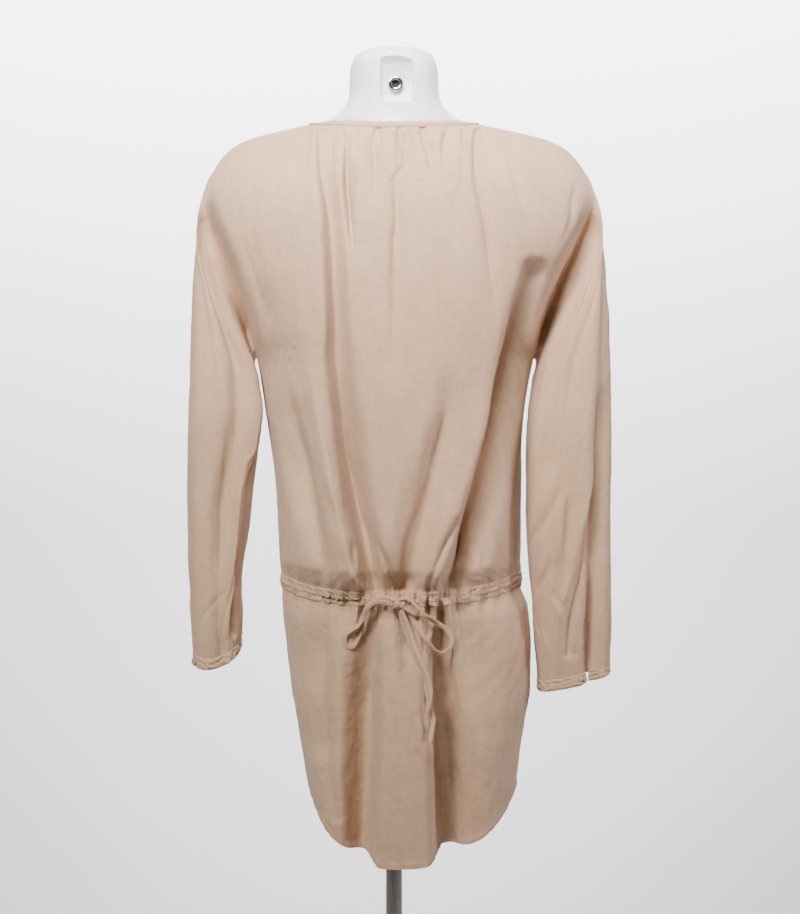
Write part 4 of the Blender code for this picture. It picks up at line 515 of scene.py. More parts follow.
def fold_out(folds, x, z):
    """How far the folds move points at x and z, outwards when positive."""
    table = columns(FOLD_COLUMNS, folds)
    moved = np.zeros_like(x)
    fade = 0.030
    for k in range(len(folds)):
        f = {name: table[name][k] for name in FOLD_COLUMNS}
        heights = (f["z_top"], f["z_mid"], f["z_low"])
        line = smooth(z, heights, (f["x_top"], f["x_mid"], f["x_low"]))
        out = smooth(z, heights, (f["out_top"], f["out_mid"], f["out_low"]))
        out = out * ease((f["z_top"] + fade - z) / fade) * ease((z - f["z_low"] + fade) / fade)
        width = np.where(x < line, f["minus_width"], f["plus_width"])
        moved += out * np.exp(-np.abs((x - line) / width) ** 2.2)
    return moved


def neck_gathers(x, z, top):
    """Waves just under the neckband, which only stand out, so that the cloth stays off the form."""
    share = x / NECK_HALF
    wave = 0.5 + 0.5 * np.cos(math.pi * NECK_GATHERS * (share + 0.06 * np.sin(5 * share)))
    uneven = 0.7 + 0.3 * np.sin(11 * share + 1)
    below = top - z
    fade = ease(below / 0.010) * np.exp(-np.maximum(below - 0.010, 0) / NECK_GATHER_FADE)
    return NECK_GATHER_OUT * wave * uneven * fade * ease((1.12 - np.abs(share)) / 0.15)


def waist_gathers(x, z, waist, middle):
    """Waves either side of the casing, deepest by the bow at the middle."""
    wave = np.cos(2 * math.pi * (x - middle) / WAIST_GATHER_LENGTH + 0.8 * np.sin(30 * x))
    near = 0.35 + 0.65 * np.exp(-((x - middle) / WAIST_GATHER_SPREAD) ** 2)
    return WAIST_GATHER_OUT * near * wave * np.exp(-np.abs(z - waist) / WAIST_GATHER_FADE)


def neckline(x, facing):
    """Depth and height of the top edge of a panel at x: the neckline, then the shoulder seam."""
    share = np.clip(np.abs(x) / NECK_HALF, 0, 1)
    arc = np.sqrt(1 - share**2)
    if facing < 0:
        y, z = NECK_BACK_Y * arc, NECK_POINT_Z - NECK_DROP_BACK * arc
    else:
        y, z = NECK_FRONT_Y * arc**0.75, NECK_POINT_Z - (NECK_POINT_Z - NECK_FRONT_Z) * arc**1.1
    return y, z


def top_edge(x, half, facing):
    """Depth and height of the whole top edge, from sleeve to sleeve."""
    y, z = neckline(x, facing)
    along = np.clip((np.abs(x) - NECK_HALF) / (half - NECK_HALF), 0, 1)
    seam = columns(SHOULDER_COLUMNS, SHOULDER_ROWS)
    return y, np.where(np.abs(x) > NECK_HALF, smooth(along, seam["share"], seam["z"]), z)


def section(rows, facing, level, folds, has_neck, creases=(), with_flat_x=False):
    """The dense curve of a panel at one level, from its -X edge to its +X edge."""
    table = columns(SECTION_COLUMNS, rows)
    at = {name: smooth(level, table["mid_z"], table[name]) for name in SECTION_COLUMNS}
    u = np.sin(np.linspace(-math.pi / 2, math.pi / 2, 1441))
    u = np.sort(np.append(u, [-NECK_HALF / table["left"][0], NECK_HALF / table["right"][0]]))
    half = np.where(u < 0, at["left"], at["right"])
    x = u * half
    arch = (1 - np.abs(u) ** at["square"]) ** at["round"]
    y = at["side_y"] + (at["mid_y"] - at["side_y"]) * arch
    z = at["side_z"] + (at["mid_z"] - at["side_z"]) * (1 - np.abs(u) ** 3)
    if has_neck:
        first = {name: table[name][0] for name in SECTION_COLUMNS}
        first_half = np.where(u < 0, first["left"], first["right"])
        arch_first = (1 - np.abs(u) ** first["square"]) ** first["round"]
        base_y = first["side_y"] + (first["mid_y"] - first["side_y"]) * arch_first
        base_z = first["side_z"] + (first["mid_z"] - first["side_z"]) * (1 - np.abs(u) ** 3)
        true_y, true_z = top_edge(u * first_half, first_half, facing)
        down = np.clip((first["mid_z"] - level) / ROUND_DEPTH, 0, 1)
        y = y + (1 - math.sqrt(1 - (1 - down) ** 2)) * (true_y - base_y)
        z = z + (1 - down) ** 1.5 * (true_z - base_z)
    swell = columns(SIDE_SWELL_COLUMNS, SIDE_SWELL_ROWS)
    if facing > 0:
        side = np.where(u < 0, smooth(z, swell["z"], swell["left"]), smooth(z, swell["z"], swell["right"]))
        x = x + np.sign(u) * side * np.sin(math.pi * np.clip(arch, 0, 1))
    across = np.gradient(np.stack([x, y], axis=1), axis=0)
    normal = unit(np.stack([across[:, 1], -across[:, 0]], axis=1)) * -facing
    normal = unit(normal * np.stack([ease((np.abs(u) - 0.45) / 0.4), np.ones_like(u)], axis=1))
    out = fold_out(folds, x, z)
    waist = at["side_z"] + (at["mid_z"] - at["side_z"]) * (1 - np.abs(u) ** 3)
    casing = 0.8765 + (0.8605 - 0.8765) * (1 - np.abs(u) ** 3)
    sides = ease((1 - np.abs(u)) / 0.12)
    middle = ease((np.abs(x) - PLACKET_HALF) / 0.012) if facing > 0 else 1.0
    out = out * (1 - CASING_CALM * np.exp(-((waist - casing) / CASING_DEPTH) ** 2))
    out = out + waist_gathers(x, waist, casing, 0.002) * (1.0 if facing < 0 else 0.6)
    out = out + (fine_gathers(x, waist, casing) if facing < 0 else 0.0)
    if has_neck and facing < 0:
        top = top_edge(x, half, facing)[1]
        out = out * ease((top - z) / 0.012) + neck_gathers(x, z, top)
        out = out + crease_out(creases, x, z) * ease((top - z) / 0.003)
    else:
        out = out + crease_out(creases, x, z)
    out = out * sides * middle
    lift = -FOLD_LIFT * np.minimum(out, 0) * (0 if has_neck else 1)
    moved = np.stack([x + normal[:, 0] * out, y + normal[:, 1] * out, z + lift, x], axis=1)
    return moved if with_flat_x else moved[:, :3]


def sleeve_fold_out(folds, angle, z):
    table = columns(SLEEVE_FOLD_COLUMNS, folds)
    moved = np.zeros_like(angle)
    fade = 0.060
    for k in range(len(folds)):
        f = {name: table[name][k] for name in SLEEVE_FOLD_COLUMNS}
        line = np.interp(-z, (-f["z_top"], -f["z_low"]), (f["angle_top"], f["angle_low"]))
        away = (angle - line + 180) % 360 - 180
        width = np.where(away < 0, f["minus_width"], f["plus_width"])
        ends = ease((f["z_top"] + fade - z) / fade) * ease((z - f["z_low"] + fade) / fade)
        moved += f["out"] * ends * np.exp(-np.abs(away / width) ** 2)
    return moved


def sleeve_ring(side, level, angles):
    """One section of a hanging sleeve, with its folds and the tilt of its lower end."""
    rows = LEFT_SLEEVE_ROWS if side == "left" else RIGHT_SLEEVE_ROWS
    folds = LEFT_SLEEVE_FOLDS if side == "left" else RIGHT_SLEEVE_FOLDS
    table = columns(SLEEVE_COLUMNS, rows)
    near, far, back, front = (float(smooth(level, table["z"], table[n])) for n in SLEEVE_COLUMNS[1:])
    a = np.radians(angles)
    out = sleeve_fold_out(folds, angles, np.full_like(a, level))
    middle_x, middle_y = (near + far) / 2, (back + front) / 2
    wide, deep = (far - near) / 2 + out, (front - back) / 2 + out
    x = middle_x + wide * np.sign(np.cos(a)) * np.abs(np.cos(a)) ** 0.9
    y = middle_y - deep * np.sign(np.sin(a)) * np.abs(np.sin(a)) ** 0.9
    to_near, to_back = CUFF_TILT[side]
    low = ease((1.02 - level) / 0.24)
    z = level - low * (to_near * (0.5 - 0.5 * np.cos(a)) + to_back * (0.5 + 0.5 * np.sin(a)))
    return np.stack([SLEEVE_SIDES[side] * x, y, z], axis=1)


def smooth_route(points, spacing):
    """A smooth curve through a route's points, with a point at about every spacing."""
    points = np.array(points)
    place = run_along(points)
    ahead = np.gradient(points, place, axis=0)
    fine = np.linspace(0, place[-1], 400)
    k = np.clip(np.searchsorted(place, fine) - 1, 0, len(place) - 2)
    step = (place[k + 1] - place[k])[:, None]
    t = ((fine - place[k])[:, None]) / step
    curve = ((1 + 2 * t) * (1 - t) ** 2 * points[k] + t * (1 - t) ** 2 * step * ahead[k]
             + t * t * (3 - 2 * t) * points[k + 1] - t * t * (1 - t) * step * ahead[k + 1])
    along = run_along(curve)
    at = np.linspace(0, along[-1], max(4, round(along[-1] / spacing)))
    return points_at(at, along, curve)


def crease_out(creases, x, z):
    """How far the creases move points at x and z. They are sharper than the folds."""
    moved = np.zeros_like(x)
    for minus, plus, points in creases:
        places, heights, outs = zip(*points)
        if z.min() > heights[0] + 0.01 or z.max() < heights[-1] - 0.01:
            continue
        line, out = smooth(z, heights, places), smooth(z, heights, outs)
        ends = ease((heights[0] + 0.006 - z) / 0.006) * ease((z - heights[-1] + 0.006) / 0.006)
        width = np.where(x < line, minus, plus)
        moved += out * ends * np.exp(-np.abs((x - line) / width) ** 1.5)
    return moved


def fine_gathers(x, z, waist):
    """The close pleats that the drawstring draws up either side of the bow."""
    wave = np.cos(2 * math.pi * x / 0.0056 + 1.6 * np.sin(95 * x) + 0.9 * np.sin(41 * x + 2))
    near = np.exp(-np.abs((x - 0.016) / 0.058) ** 2.4) + 0.25
    return 0.0016 * near * wave * np.exp(-np.abs(z - waist) / 0.011)


def crumple(across, down, size, seed, longer=1.0):
    """Soft uneven waves about -1 to 1 high, of this size across and so many times longer down."""
    dice = np.random.default_rng(seed)
    found = np.zeros_like(across)
    for _ in range(12):
        turn, length = dice.uniform(0, math.pi), size * dice.uniform(0.7, 1.7)
        phase, other = dice.uniform(0, 2 * math.pi, 2)
        a, b = across * 2 * math.pi / length, down * 2 * math.pi / (length * longer)
        along = math.cos(turn) * a + math.sin(turn) * b
        beside = math.sin(turn) * a - math.cos(turn) * b
        found += np.sin(along + phase + 1.1 * np.sin(0.37 * beside + other))
    return found / 3.0


def spread(curve, stops, counts, edge=0.0, edge_count=0):
    """A curve as even steps along it between stops, with closer steps for a seam's width at its ends."""
    along = run_along(curve[:, :3])
    flat_x = curve[:, 3 if curve.shape[1] > 3 else 0]
    ends = [edge] + [float(np.interp(s, flat_x, along)) for s in stops] + [along[-1] - edge]
    places = [np.linspace(a, b, n + 1)[:-1] for a, b, n in zip(ends, ends[1:], counts)]
    if edge_count:
        first = np.linspace(0, edge, edge_count + 1)[:-1]
        last = along[-1] - np.linspace(edge, 0, edge_count + 1)
        places = [first, *places, last]
    else:
        places = places + [[along[-1]]]
    at = np.concatenate(places)
    return points_at(at, along, curve)


def panel_levels(top, rounded, first, stretches):
    """Levels from the top down: closer where the cloth rounds the shoulder, then even in each stretch."""
    levels = list(top - rounded * (np.arange(first + 1) / first) ** 2) if first else [top]
    for low, steps in stretches:
        levels += list(np.linspace(levels[-1], low, steps + 1)[1:])
    return levels


def grid_normals(grid, closed):
    """The outward normal at every point of a grid whose rows run from -X to +X down the back."""
    down = np.gradient(grid, axis=0)
    if closed:
        across = np.roll(grid, -1, axis=1) - np.roll(grid, 1, axis=1)
    else:
        across = np.gradient(grid, axis=1)
    return unit(np.cross(down, across))


def lengths(grid):
    """Each point's length along its row and down its column, which is where it lies on the flat cut."""
    across = np.linalg.norm(np.diff(grid, axis=1), axis=2)
    across = np.concatenate([np.zeros((len(grid), 1)), np.cumsum(across, axis=1)], axis=1)
    across -= across[:, across.shape[1] // 2][:, None]
    down = np.linalg.norm(np.diff(grid, axis=0), axis=2)
    down = np.concatenate([np.zeros((1, grid.shape[1])), np.cumsum(down, axis=0)], axis=0)
    return across, down


def zip_rows(upper, lower):
    """Triangles between two rows of point numbers, which may differ in length."""
    n, m = len(upper) - 1, len(lower) - 1
    i = j = 0
    made = []
    while i < n or j < m:
        if j >= m or (i < n and (i + 1) / n <= (j + 1) / m):
            made.append((upper[i], lower[j], upper[i + 1]))
            i += 1
        else:
            made.append((upper[i], lower[j], lower[j + 1]))
            j += 1
    return made


def quads(numbers, closed):
    """The faces of a grid of point numbers."""
    right = np.roll(numbers, -1, axis=1) if closed else numbers[:, 1:]
    left = numbers if closed else numbers[:, :-1]
    stacked = np.stack([left[:-1], left[1:], right[1:], right[:-1]], axis=-1)
    return stacked.reshape(-1, 4)


def sewn(name, outer, inner, finish, closed=False, flip=False, every=1, cut=None, angle=80):
    """A closed shell between an outer grid and an inner one, which keeps only every so many rows."""
    keep = np.unique(np.append(np.arange(0, len(inner), every), len(inner) - 1))
    inner = inner[keep]
    count = outer.shape[0] * outer.shape[1]
    out_numbers = np.arange(count).reshape(outer.shape[:2])
    in_numbers = count + np.arange(inner.shape[0] * inner.shape[1]).reshape(inner.shape[:2])
    faces = [tuple(f) for f in quads(out_numbers, closed).tolist()]
    faces += [tuple(f[::-1]) for f in quads(in_numbers, closed).tolist()]
    for row, turned_over in ((0, True), (-1, False)):
        a, b = out_numbers[row].tolist(), in_numbers[row].tolist()
        if closed:
            a, b = a + a[:1], b + b[:1]
        side = [(p, s, r, q) for p, q, r, s in zip(a, a[1:], b[1:], b)]
        faces += [f[::-1] for f in side] if turned_over else side
    if not closed:
        first = zip_rows(out_numbers[:, 0].tolist(), in_numbers[:, 0].tolist())
        last = zip_rows(out_numbers[:, -1].tolist(), in_numbers[:, -1].tolist())
        faces += first + [f[::-1] for f in last]
    if flip:
        faces = [f[::-1] for f in faces]
    points = np.concatenate([outer.reshape(-1, 3), inner.reshape(-1, 3)])
    if cut is not None:
        flat = np.stack(cut, axis=-1)
        cut = np.concatenate([flat.reshape(-1, 2), flat[keep].reshape(-1, 2)])
    return piece(name, points, faces, finish, cut, angle)


def piece(name, points, faces, finish, cut=None, angle=40):
    """A mesh object of the dress that rides on the root, with its places on the flat cut if given."""
    mesh = bpy.data.meshes.new(name)
    mesh.from_pydata(np.asarray(points).tolist(), [], faces)
    mesh.materials.append(finish)
    mesh.shade_smooth()
    mesh.set_sharp_from_angle(angle=math.radians(angle))
    if cut is not None:
        corner = np.empty(len(mesh.loops), np.int32)
        mesh.loops.foreach_get("vertex_index", corner)
        layer = mesh.uv_layers.new(name="cut_pattern")
        layer.data.foreach_set("uv", np.asarray(cut, np.float32)[corner].ravel())
    made = bpy.data.objects.new(name, mesh)
    bpy.context.scene.collection.objects.link(made)
    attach(made, "root")
    return made


def shaped(name, shape, finish, angle=40):
    """A piece from a bmesh."""
    mesh = bpy.data.meshes.new(name)
    shape.to_mesh(mesh)
    shape.free()
    mesh.materials.append(finish)
    mesh.shade_smooth()
    mesh.set_sharp_from_angle(angle=math.radians(angle))
    made = bpy.data.objects.new(name, mesh)
    bpy.context.scene.collection.objects.link(made)
    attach(made, "root")
    return made


def shell(name, grid, thick, finish, closed=False, side=1, every=4):
    """A cloth panel: its outer face is the grid, and its inner face lies one cloth thickness inside."""
    facing = grid_normals(grid, closed) * side
    across, down = lengths(grid)
    return sewn(name, grid, grid - facing * thick, finish, closed, side < 0, every, (across, down))


def strip(name, grid, facing, low, high, finish, side=1, round_over=0.0012, puff=None):
    """A band of cloth laid on a grid, from low to high above it, with its edges rounded over."""
    across, down = lengths(grid)
    from_side = np.minimum(across - across[:, :1], across[:, -1:] - across)
    from_end = np.minimum(down, down[-1:] - down)
    edge = np.clip(np.minimum(from_side, from_end) / round_over, 0, 1)
    lift = low + (high - low) * (0.35 + 0.65 * np.sqrt(1 - (1 - edge) ** 2))
    if puff is not None:
        lift = lift + puff
    outer, inner = grid + facing * lift[..., None], grid + facing * low
    return sewn(name, outer, inner, finish, False, side < 0, 1, (across, down))


def stitch_row(points, faces, line, facing, length, gap, width):
    """Adds short stitches of thread along a line that lies on cloth with these normals."""
    along = run_along(line)
    pitch = length + gap
    count = max(1, int(along[-1] // pitch))
    for k in range(count):
        at = (k + 0.5) * along[-1] / count
        ends = at + np.array([-0.5, -0.28, 0.0, 0.28, 0.5]) * length
        p = points_at(ends, along, line)
        n = unit(points_at(ends, along, facing))
        ahead = unit(p[-1] - p[0])
        beside = unit(np.cross(n, ahead))
        high = np.array([0.0, 0.42, 0.5, 0.42, 0.0]) * width
        start = len(points)
        for i in (1, 2, 3):
            middle = p[i] + n[i] * (high[i] - 0.12 * width)
            for up, over in ((1, 0), (0, 1), (-1, 0), (0, -1)):
                points.append(middle + n[i] * up * width * 0.5 + beside[i] * over * width * 0.5)
        points += [p[0], p[-1]]
        tip, tail = start + 12, start + 13
        for i in range(4):
            j = (i + 1) % 4
            faces.append((tip, start + i, start + j))
            faces.append((start + i, start + 4 + i, start + 4 + j, start + j))
            faces.append((start + 4 + i, start + 8 + i, start + 8 + j, start + 4 + j))
            faces.append((start + 8 + i, tail, start + 8 + j))


def stitching(name, lines, sizes, finish):
    """All the stitches of one seam or hem, as one piece. Each line comes with its normals."""
    points, faces = [], []
    for line, facing in lines:
        stitch_row(points, faces, line, facing, sizes.stitch, sizes.stitch * 0.35, 0.00042)
    made = piece(name, points, faces, finish)
    return made


def section_grid(rows, facing, levels, folds, creases, stops, counts, has_neck, edge=0.0, edge_count=0):
    """A panel's grid of points: one section for each level, with its columns along the named lines."""
    names, places = stops
    table = columns(names, places)
    made = []
    for level in levels:
        lines = [float(smooth(level, table["z"], table[name])) for name in names[1:]]
        curve = section(rows, facing, level, folds, has_neck, creases, True)
        made.append(spread(curve, lines, counts, edge, edge_count))
    return np.array(made)


def half_grid(rows, levels, folds, half, counts, has_neck):
    """Half of the front, from the middle to the side seam. Half is -1 for the wearer's left."""
    made = []
    for level in levels:
        curve = section(rows, 1, level, folds, has_neck)
        keep = curve[:, 0] * half > 1e-6
        side = curve[keep] if half > 0 else curve[keep][::-1]
        first = side[:1].copy()
        first[0, 0] = 0
        side = np.concatenate([first, side]) * (half, 1, 1)
        neck = NECK_HALF if has_neck and level > 1.25 else 0.085
        made.append(spread(side, (PLACKET_HALF, neck), counts, 0.0, 0) * (half, 1, 1))
    return np.array(made)


def from_edges(grid, closed=False):
    """Each point's distance from the grid's nearest edge, along the cloth."""
    across, down = lengths(grid)
    ends = np.minimum(down, down[-1:] - down)
    if closed:
        return ends
    return np.minimum(np.minimum(across - across[:, :1], across[:, -1:] - across), ends)


def worn_in(grid, side, depth, seed, size=0.020, longer=2.2, closed=False):
    """The grid with the soft crumpling of worn thin cotton, which dies away at its seams."""
    facing = grid_normals(grid, closed) * side
    across, down = lengths(grid)
    if closed:
        turn = 2 * math.pi * np.arange(grid.shape[1]) / grid.shape[1]
        across = 0.045 * np.cos(turn)[None, :] + 0 * across
        down = down + 0.045 * np.sin(turn)[None, :]
    big = crumple(across, down, size, seed, longer)
    small = crumple(across, down, size * 0.42, seed + 1, 1.3)
    sharp = 0.5 - np.abs(crumple(across, down, size * 0.9, seed + 2, 0.8))
    wave = 0.55 * big + 0.28 * small + 0.35 * np.minimum(sharp, 0.3)
    calm = ease(from_edges(grid, closed) / 0.010)
    return grid + facing * (depth * wave * calm)[..., None]


def evened(grid, low, high, times=40):
    """The grid with its rows evened out between two heights, away from its seams."""
    across = lengths(grid)[0]
    from_side = np.minimum(across - across[:, :1], across[:, -1:] - across)
    z = grid[..., 2]
    share = ease((from_side - 0.012) / 0.02) * ease((high - z) / 0.03) * ease((z - low) / 0.03)
    for _ in range(times):
        even = grid.copy()
        even[1:-1] = (grid[:-2] + 2 * grid[1:-1] + grid[2:]) / 4
        grid = grid + (even - grid) * share[..., None]
    return grid


def seam_raised(grid, side, which, height=0.0005, width=0.0065):
    """The grid with a seam allowance pressed under its edge, which raises it as far as the stitching."""
    facing = grid_normals(grid, False) * side
    across, down = lengths(grid)
    away = {"first": across - across[:, :1], "last": across[:, -1:] - across, "bottom": down[-1:] - down}
    lift = np.zeros(grid.shape[:2])
    for name in which:
        d = away[name]
        lift = np.maximum(lift, height * ease(d / 0.0012) * ease((width - d) / 0.0012))
    return grid + facing * lift[..., None]


def set_in(z):
    """How far forward the back's armhole seam is set at a height: the sleeve hangs behind the back's edge."""
    return 0.044 * ease((1.332 - z) / 0.075) * ease((z - 1.128) / 0.040)


def linear(code):
    """An sRGB hex colour as linear values."""
    values = [int(code[i:i + 2], 16) / 255 for i in (0, 2, 4)]
    return tuple(v / 12.92 if v <= 0.04045 else ((v + 0.055) / 1.055) ** 2.4 for v in values)


def shade(colour, factor, warm=0.0):
    """A colour made lighter or darker, and warmer by a share."""
    r, g, b = (min(1.0, c * factor) for c in colour[:3])
    return (min(1.0, r * (1 + warm)), g, b * (1 - warm), 1.0)


def add(tree, kind, values=None, links=None, into=None, out=0, stops=(), **settings):
    """Adds a node with its settings, its sockets' values, its links and a colour ramp's stops.
    It gives back its output of this number or name, linked into a socket if one is given."""
    made = tree.nodes.new("ShaderNode" + kind)
    for name, value in settings.items():
        setattr(made, name, value)
    for socket, value in (values or {}).items():
        made.inputs[socket].default_value = value
    for socket, source in (links or {}).items():
        tree.links.new(source, made.inputs[socket])
    for _ in stops[2:]:
        made.color_ramp.elements.new(0.5)
    for k, (place, colour) in enumerate(stops):
        made.color_ramp.elements[k].position = place
        made.color_ramp.elements[k].color = colour
    if into:
        tree.links.new(made.outputs[out], into)
    return made.outputs[out]


def fresh(name, sockets):
    """A new material, its tree and its Principled shader's sockets, with these values."""
    made = bpy.data.materials.new(name)
    made.use_nodes = True
    shader = made.node_tree.nodes["Principled BSDF"]
    for socket, value in sockets.items():
        shader.inputs[socket].default_value = value
    return made, made.node_tree, shader


def cotton_voile(name, colour, thread, light_through):
    """Plain-woven cotton voile, garment-dyed and washed soft: matt, a little uneven in its threads,
    with a faint bloom at grazing angles and a warm glow where light comes through it."""
    made, tree, shader = fresh(name, {"Roughness": 0.94, "IOR": 1.53, "Specular IOR Level": 0.25,
                                      "Sheen Weight": 0.18, "Sheen Roughness": 0.6})
    place = add(tree, "UVMap", uv_map="cut_pattern")
    # Threads lie about 0.45 mm apart. They are drawn at thread mm, as coarse as they need to show.
    yarn = {"Scale": 0.314 / thread, "Distortion": 1.6, "Detail": 1.0, "Detail Scale": 0.6}
    weft = add(tree, "TexWave", yarn, {"Vector": place}, out="Fac", bands_direction="Y")
    warp = add(tree, "TexWave", yarn, {"Vector": place}, out="Fac", bands_direction="X")
    # Slubs: thick places in the yarn, 12 to 40 mm long and about one thread wide
    long_way = add(tree, "Mapping", {"Scale": (42, 780, 1)}, {"Vector": place})
    short_way = add(tree, "Mapping", {"Scale": (820, 30, 1)}, {"Vector": place})
    across = add(tree, "TexNoise", {"Scale": 1.0, "Detail": 1.0}, {"Vector": long_way})
    down = add(tree, "TexNoise", {"Scale": 1.0, "Detail": 1.0}, {"Vector": short_way})
    slubs = add(tree, "Math", links={0: across, 1: down}, operation="ADD")
    # The dye took unevenly: soft clouds 60 mm across, and fine ones of 9 mm
    cloud = add(tree, "TexNoise", {"Scale": 16.0, "Detail": 3.0}, {"Vector": place})
    blotch = add(tree, "TexNoise", {"Scale": 110.0, "Detail": 2.0}, {"Vector": place})
    dye = add(tree, "Math", links={0: cloud, 1: blotch}, operation="ADD")
    tone = add(tree, "Math", {1: 0.55}, {0: slubs, 2: dye}, operation="MULTIPLY_ADD")
    level = add(tree, "MapRange", {1: 1.10, 2: 2.00}, {0: tone})
    dyed = add(tree, "ValToRGB", links={0: level}, into=shader.inputs["Base Color"], stops=[
        (0.0, shade(colour, 0.86, 0.03)), (0.5, shade(colour, 1.0)), (1.0, shade(colour, 1.10, -0.02))])
    woven = add(tree, "Math", links={0: weft, 1: warp}, operation="ADD")
    height = add(tree, "Math", {1: 1.4}, {0: slubs, 2: woven}, operation="MULTIPLY_ADD")
    soft = add(tree, "TexNoise", {"Scale": 330.0, "Detail": 2.0}, {"Vector": place})
    rumple = add(tree, "Math", {1: 2.2}, {0: soft, 2: height}, operation="MULTIPLY_ADD")
    add(tree, "Bump", {"Strength": 0.42, "Distance": 0.00022}, {"Height": rumple}, shader.inputs["Normal"])
    glow = add(tree, "BsdfTranslucent", links={"Color": dyed})
    add(tree, "MixShader", {0: light_through}, {1: shader.outputs[0], 2: glow},
        tree.nodes["Material Output"].inputs["Surface"])
    return made


def sewing_thread(colour):
    """Spun cotton sewing thread, twisted: matt, a shade deeper than the cloth, so that a seam reads."""
    made, tree, shader = fresh("sewing_thread", {"Roughness": 0.9, "Sheen Weight": 0.1})
    place = add(tree, "TexCoord", out="Object")
    twist = add(tree, "TexNoise", {"Scale": 900.0, "Detail": 1.0}, {"Vector": place})
    add(tree, "ValToRGB", links={0: twist}, into=shader.inputs["Base Color"],
        stops=[(0.3, shade(colour, 0.74, 0.04)), (0.7, shade(colour, 0.94))])
    return made


def moulded_plastic(colour):
    """Moulded glass-fibre form with a satin white finish: soft broad gloss and a faint orange peel."""
    made, tree, shader = fresh("satin_white_form", {"IOR": 1.49})
    place = add(tree, "TexCoord", out="Object")
    # Orange peel of about 3 mm, and soft handling marks of about 40 mm
    peel = add(tree, "TexNoise", {"Scale": 330.0, "Detail": 1.0}, {"Vector": place})
    marks = add(tree, "TexNoise", {"Scale": 25.0, "Detail": 4.0}, {"Vector": place})
    add(tree, "ValToRGB", links={0: marks}, into=shader.inputs["Base Color"],
        stops=[(0.3, shade(colour, 0.965)), (0.65, shade(colour, 1.0))])
    add(tree, "MapRange", {1: 0.3, 2: 0.7, 3: 0.40, 4: 0.50}, {0: marks}, shader.inputs["Roughness"])
    add(tree, "Bump", {"Strength": 0.06, "Distance": 0.0002}, {"Height": peel}, shader.inputs["Normal"])
    return made


def chromed_brass(colour):
    """Chromed brass eyelet: a bright mirror with a blue cast, worn slightly soft."""
    made, tree, shader = fresh("chromed_brass", {"Base Color": (*colour, 1.0), "Metallic": 1.0})
    place = add(tree, "TexCoord", out="Object")
    wear = add(tree, "TexNoise", {"Scale": 700.0, "Detail": 2.0}, {"Vector": place})
    add(tree, "MapRange", {1: 0.3, 2: 0.7, 3: 0.10, 4: 0.22}, {0: wear}, shader.inputs["Roughness"])
    return made


def painted_hole_shade():
    """Painted shade in the eyelet's bore: a near-black colour, standing in for the shadow deep in the hole,
    that takes nearly all the light.
    """
    made, tree, shader = fresh("painted_hole_shade", {"Roughness": 0.7})
    place = add(tree, "TexCoord", out="Object")
    shade_speckle = add(tree, "TexNoise", {"Scale": 1500.0}, {"Vector": place})
    # Painted shade: near-black colours for the hole's bore and floor, in place of the shadow deep in it
    add(tree, "ValToRGB", links={0: shade_speckle}, into=shader.inputs["Base Color"],
        stops=[(0.3, (*linear("0B0A0A"), 1.0)), (0.8, (*linear("1C1A19"), 1.0))])
    return made


def brushed_steel(name, colour, along, across):
    """Brushed stainless steel tube and plate: fine grain along the brushing, soft stretched reflections."""
    made, tree, shader = fresh(name, {"Metallic": 1.0, "Anisotropic": 0.4})
    # Brush marks are about 0.1 mm wide and are drawn at 0.7 mm so that they show
    place = add(tree, "TexCoord", out="Object")
    run = add(tree, "Mapping", {"Scale": (across, across, along)}, {"Vector": place})
    grain = add(tree, "TexNoise", {"Scale": 1.0, "Detail": 3.0}, {"Vector": run})
    add(tree, "ValToRGB", links={0: grain}, into=shader.inputs["Base Color"],
        stops=[(0.35, shade(colour, 0.86)), (0.65, shade(colour, 1.06))])
    add(tree, "MapRange", {1: 0.3, 2: 0.7, 3: 0.24, 4: 0.36}, {0: grain}, shader.inputs["Roughness"])
    add(tree, "Bump", {"Strength": 0.10, "Distance": 0.0001}, {"Height": grain}, shader.inputs["Normal"])
    return made


def button_resin(colour):
    """Cast polyester resin button, tumbled: pale horn-like clouds under a soft polish."""
    made, tree, shader = fresh("button_resin", {"Roughness": 0.38, "IOR": 1.56})
    cloud = add(tree, "TexNoise", {"Scale": 260.0, "Detail": 3.0, "Distortion": 1.2},
                {"Vector": add(tree, "TexCoord", out="Object")})
    add(tree, "ValToRGB", links={0: cloud}, into=shader.inputs["Base Color"],
        stops=[(0.3, shade(colour, 0.8, 0.03)), (0.7, shade(colour, 1.12))])
    return made


def paper_sweep(colour):
    """Matt seamless paper, a pale grey sweep with painted light: its colour is darker low down and on the
    floor, and lighter higher up, as a lit wall is.
    """
    made, tree, shader = fresh("paper_sweep", {"Roughness": 0.95, "Specular IOR Level": 0.1})
    place = add(tree, "TexCoord", out="Object")
    # Painted light: the colour runs from 0.6 of the paper's at the floor to full 1.9 m up, a painted falloff
    # of the lamps' light
    height = add(tree, "SeparateXYZ", links={0: place}, out=2)
    level = add(tree, "MapRange", {1: 0.2, 2: 1.9}, {0: height})
    add(tree, "ValToRGB", links={0: level}, into=shader.inputs["Base Color"],
        stops=[(0.0, shade(colour, 0.60)), (1.0, shade(colour, 1.0))])
    # The sweep has one side: from behind it, the dress's front is seen through it
    behind = add(tree, "NewGeometry", out="Backfacing")
    clear = add(tree, "BsdfTransparent")
    add(tree, "MixShader", links={0: behind, 1: shader.outputs[0], 2: clear},
        into=tree.nodes["Material Output"].inputs["Surface"])
    return made


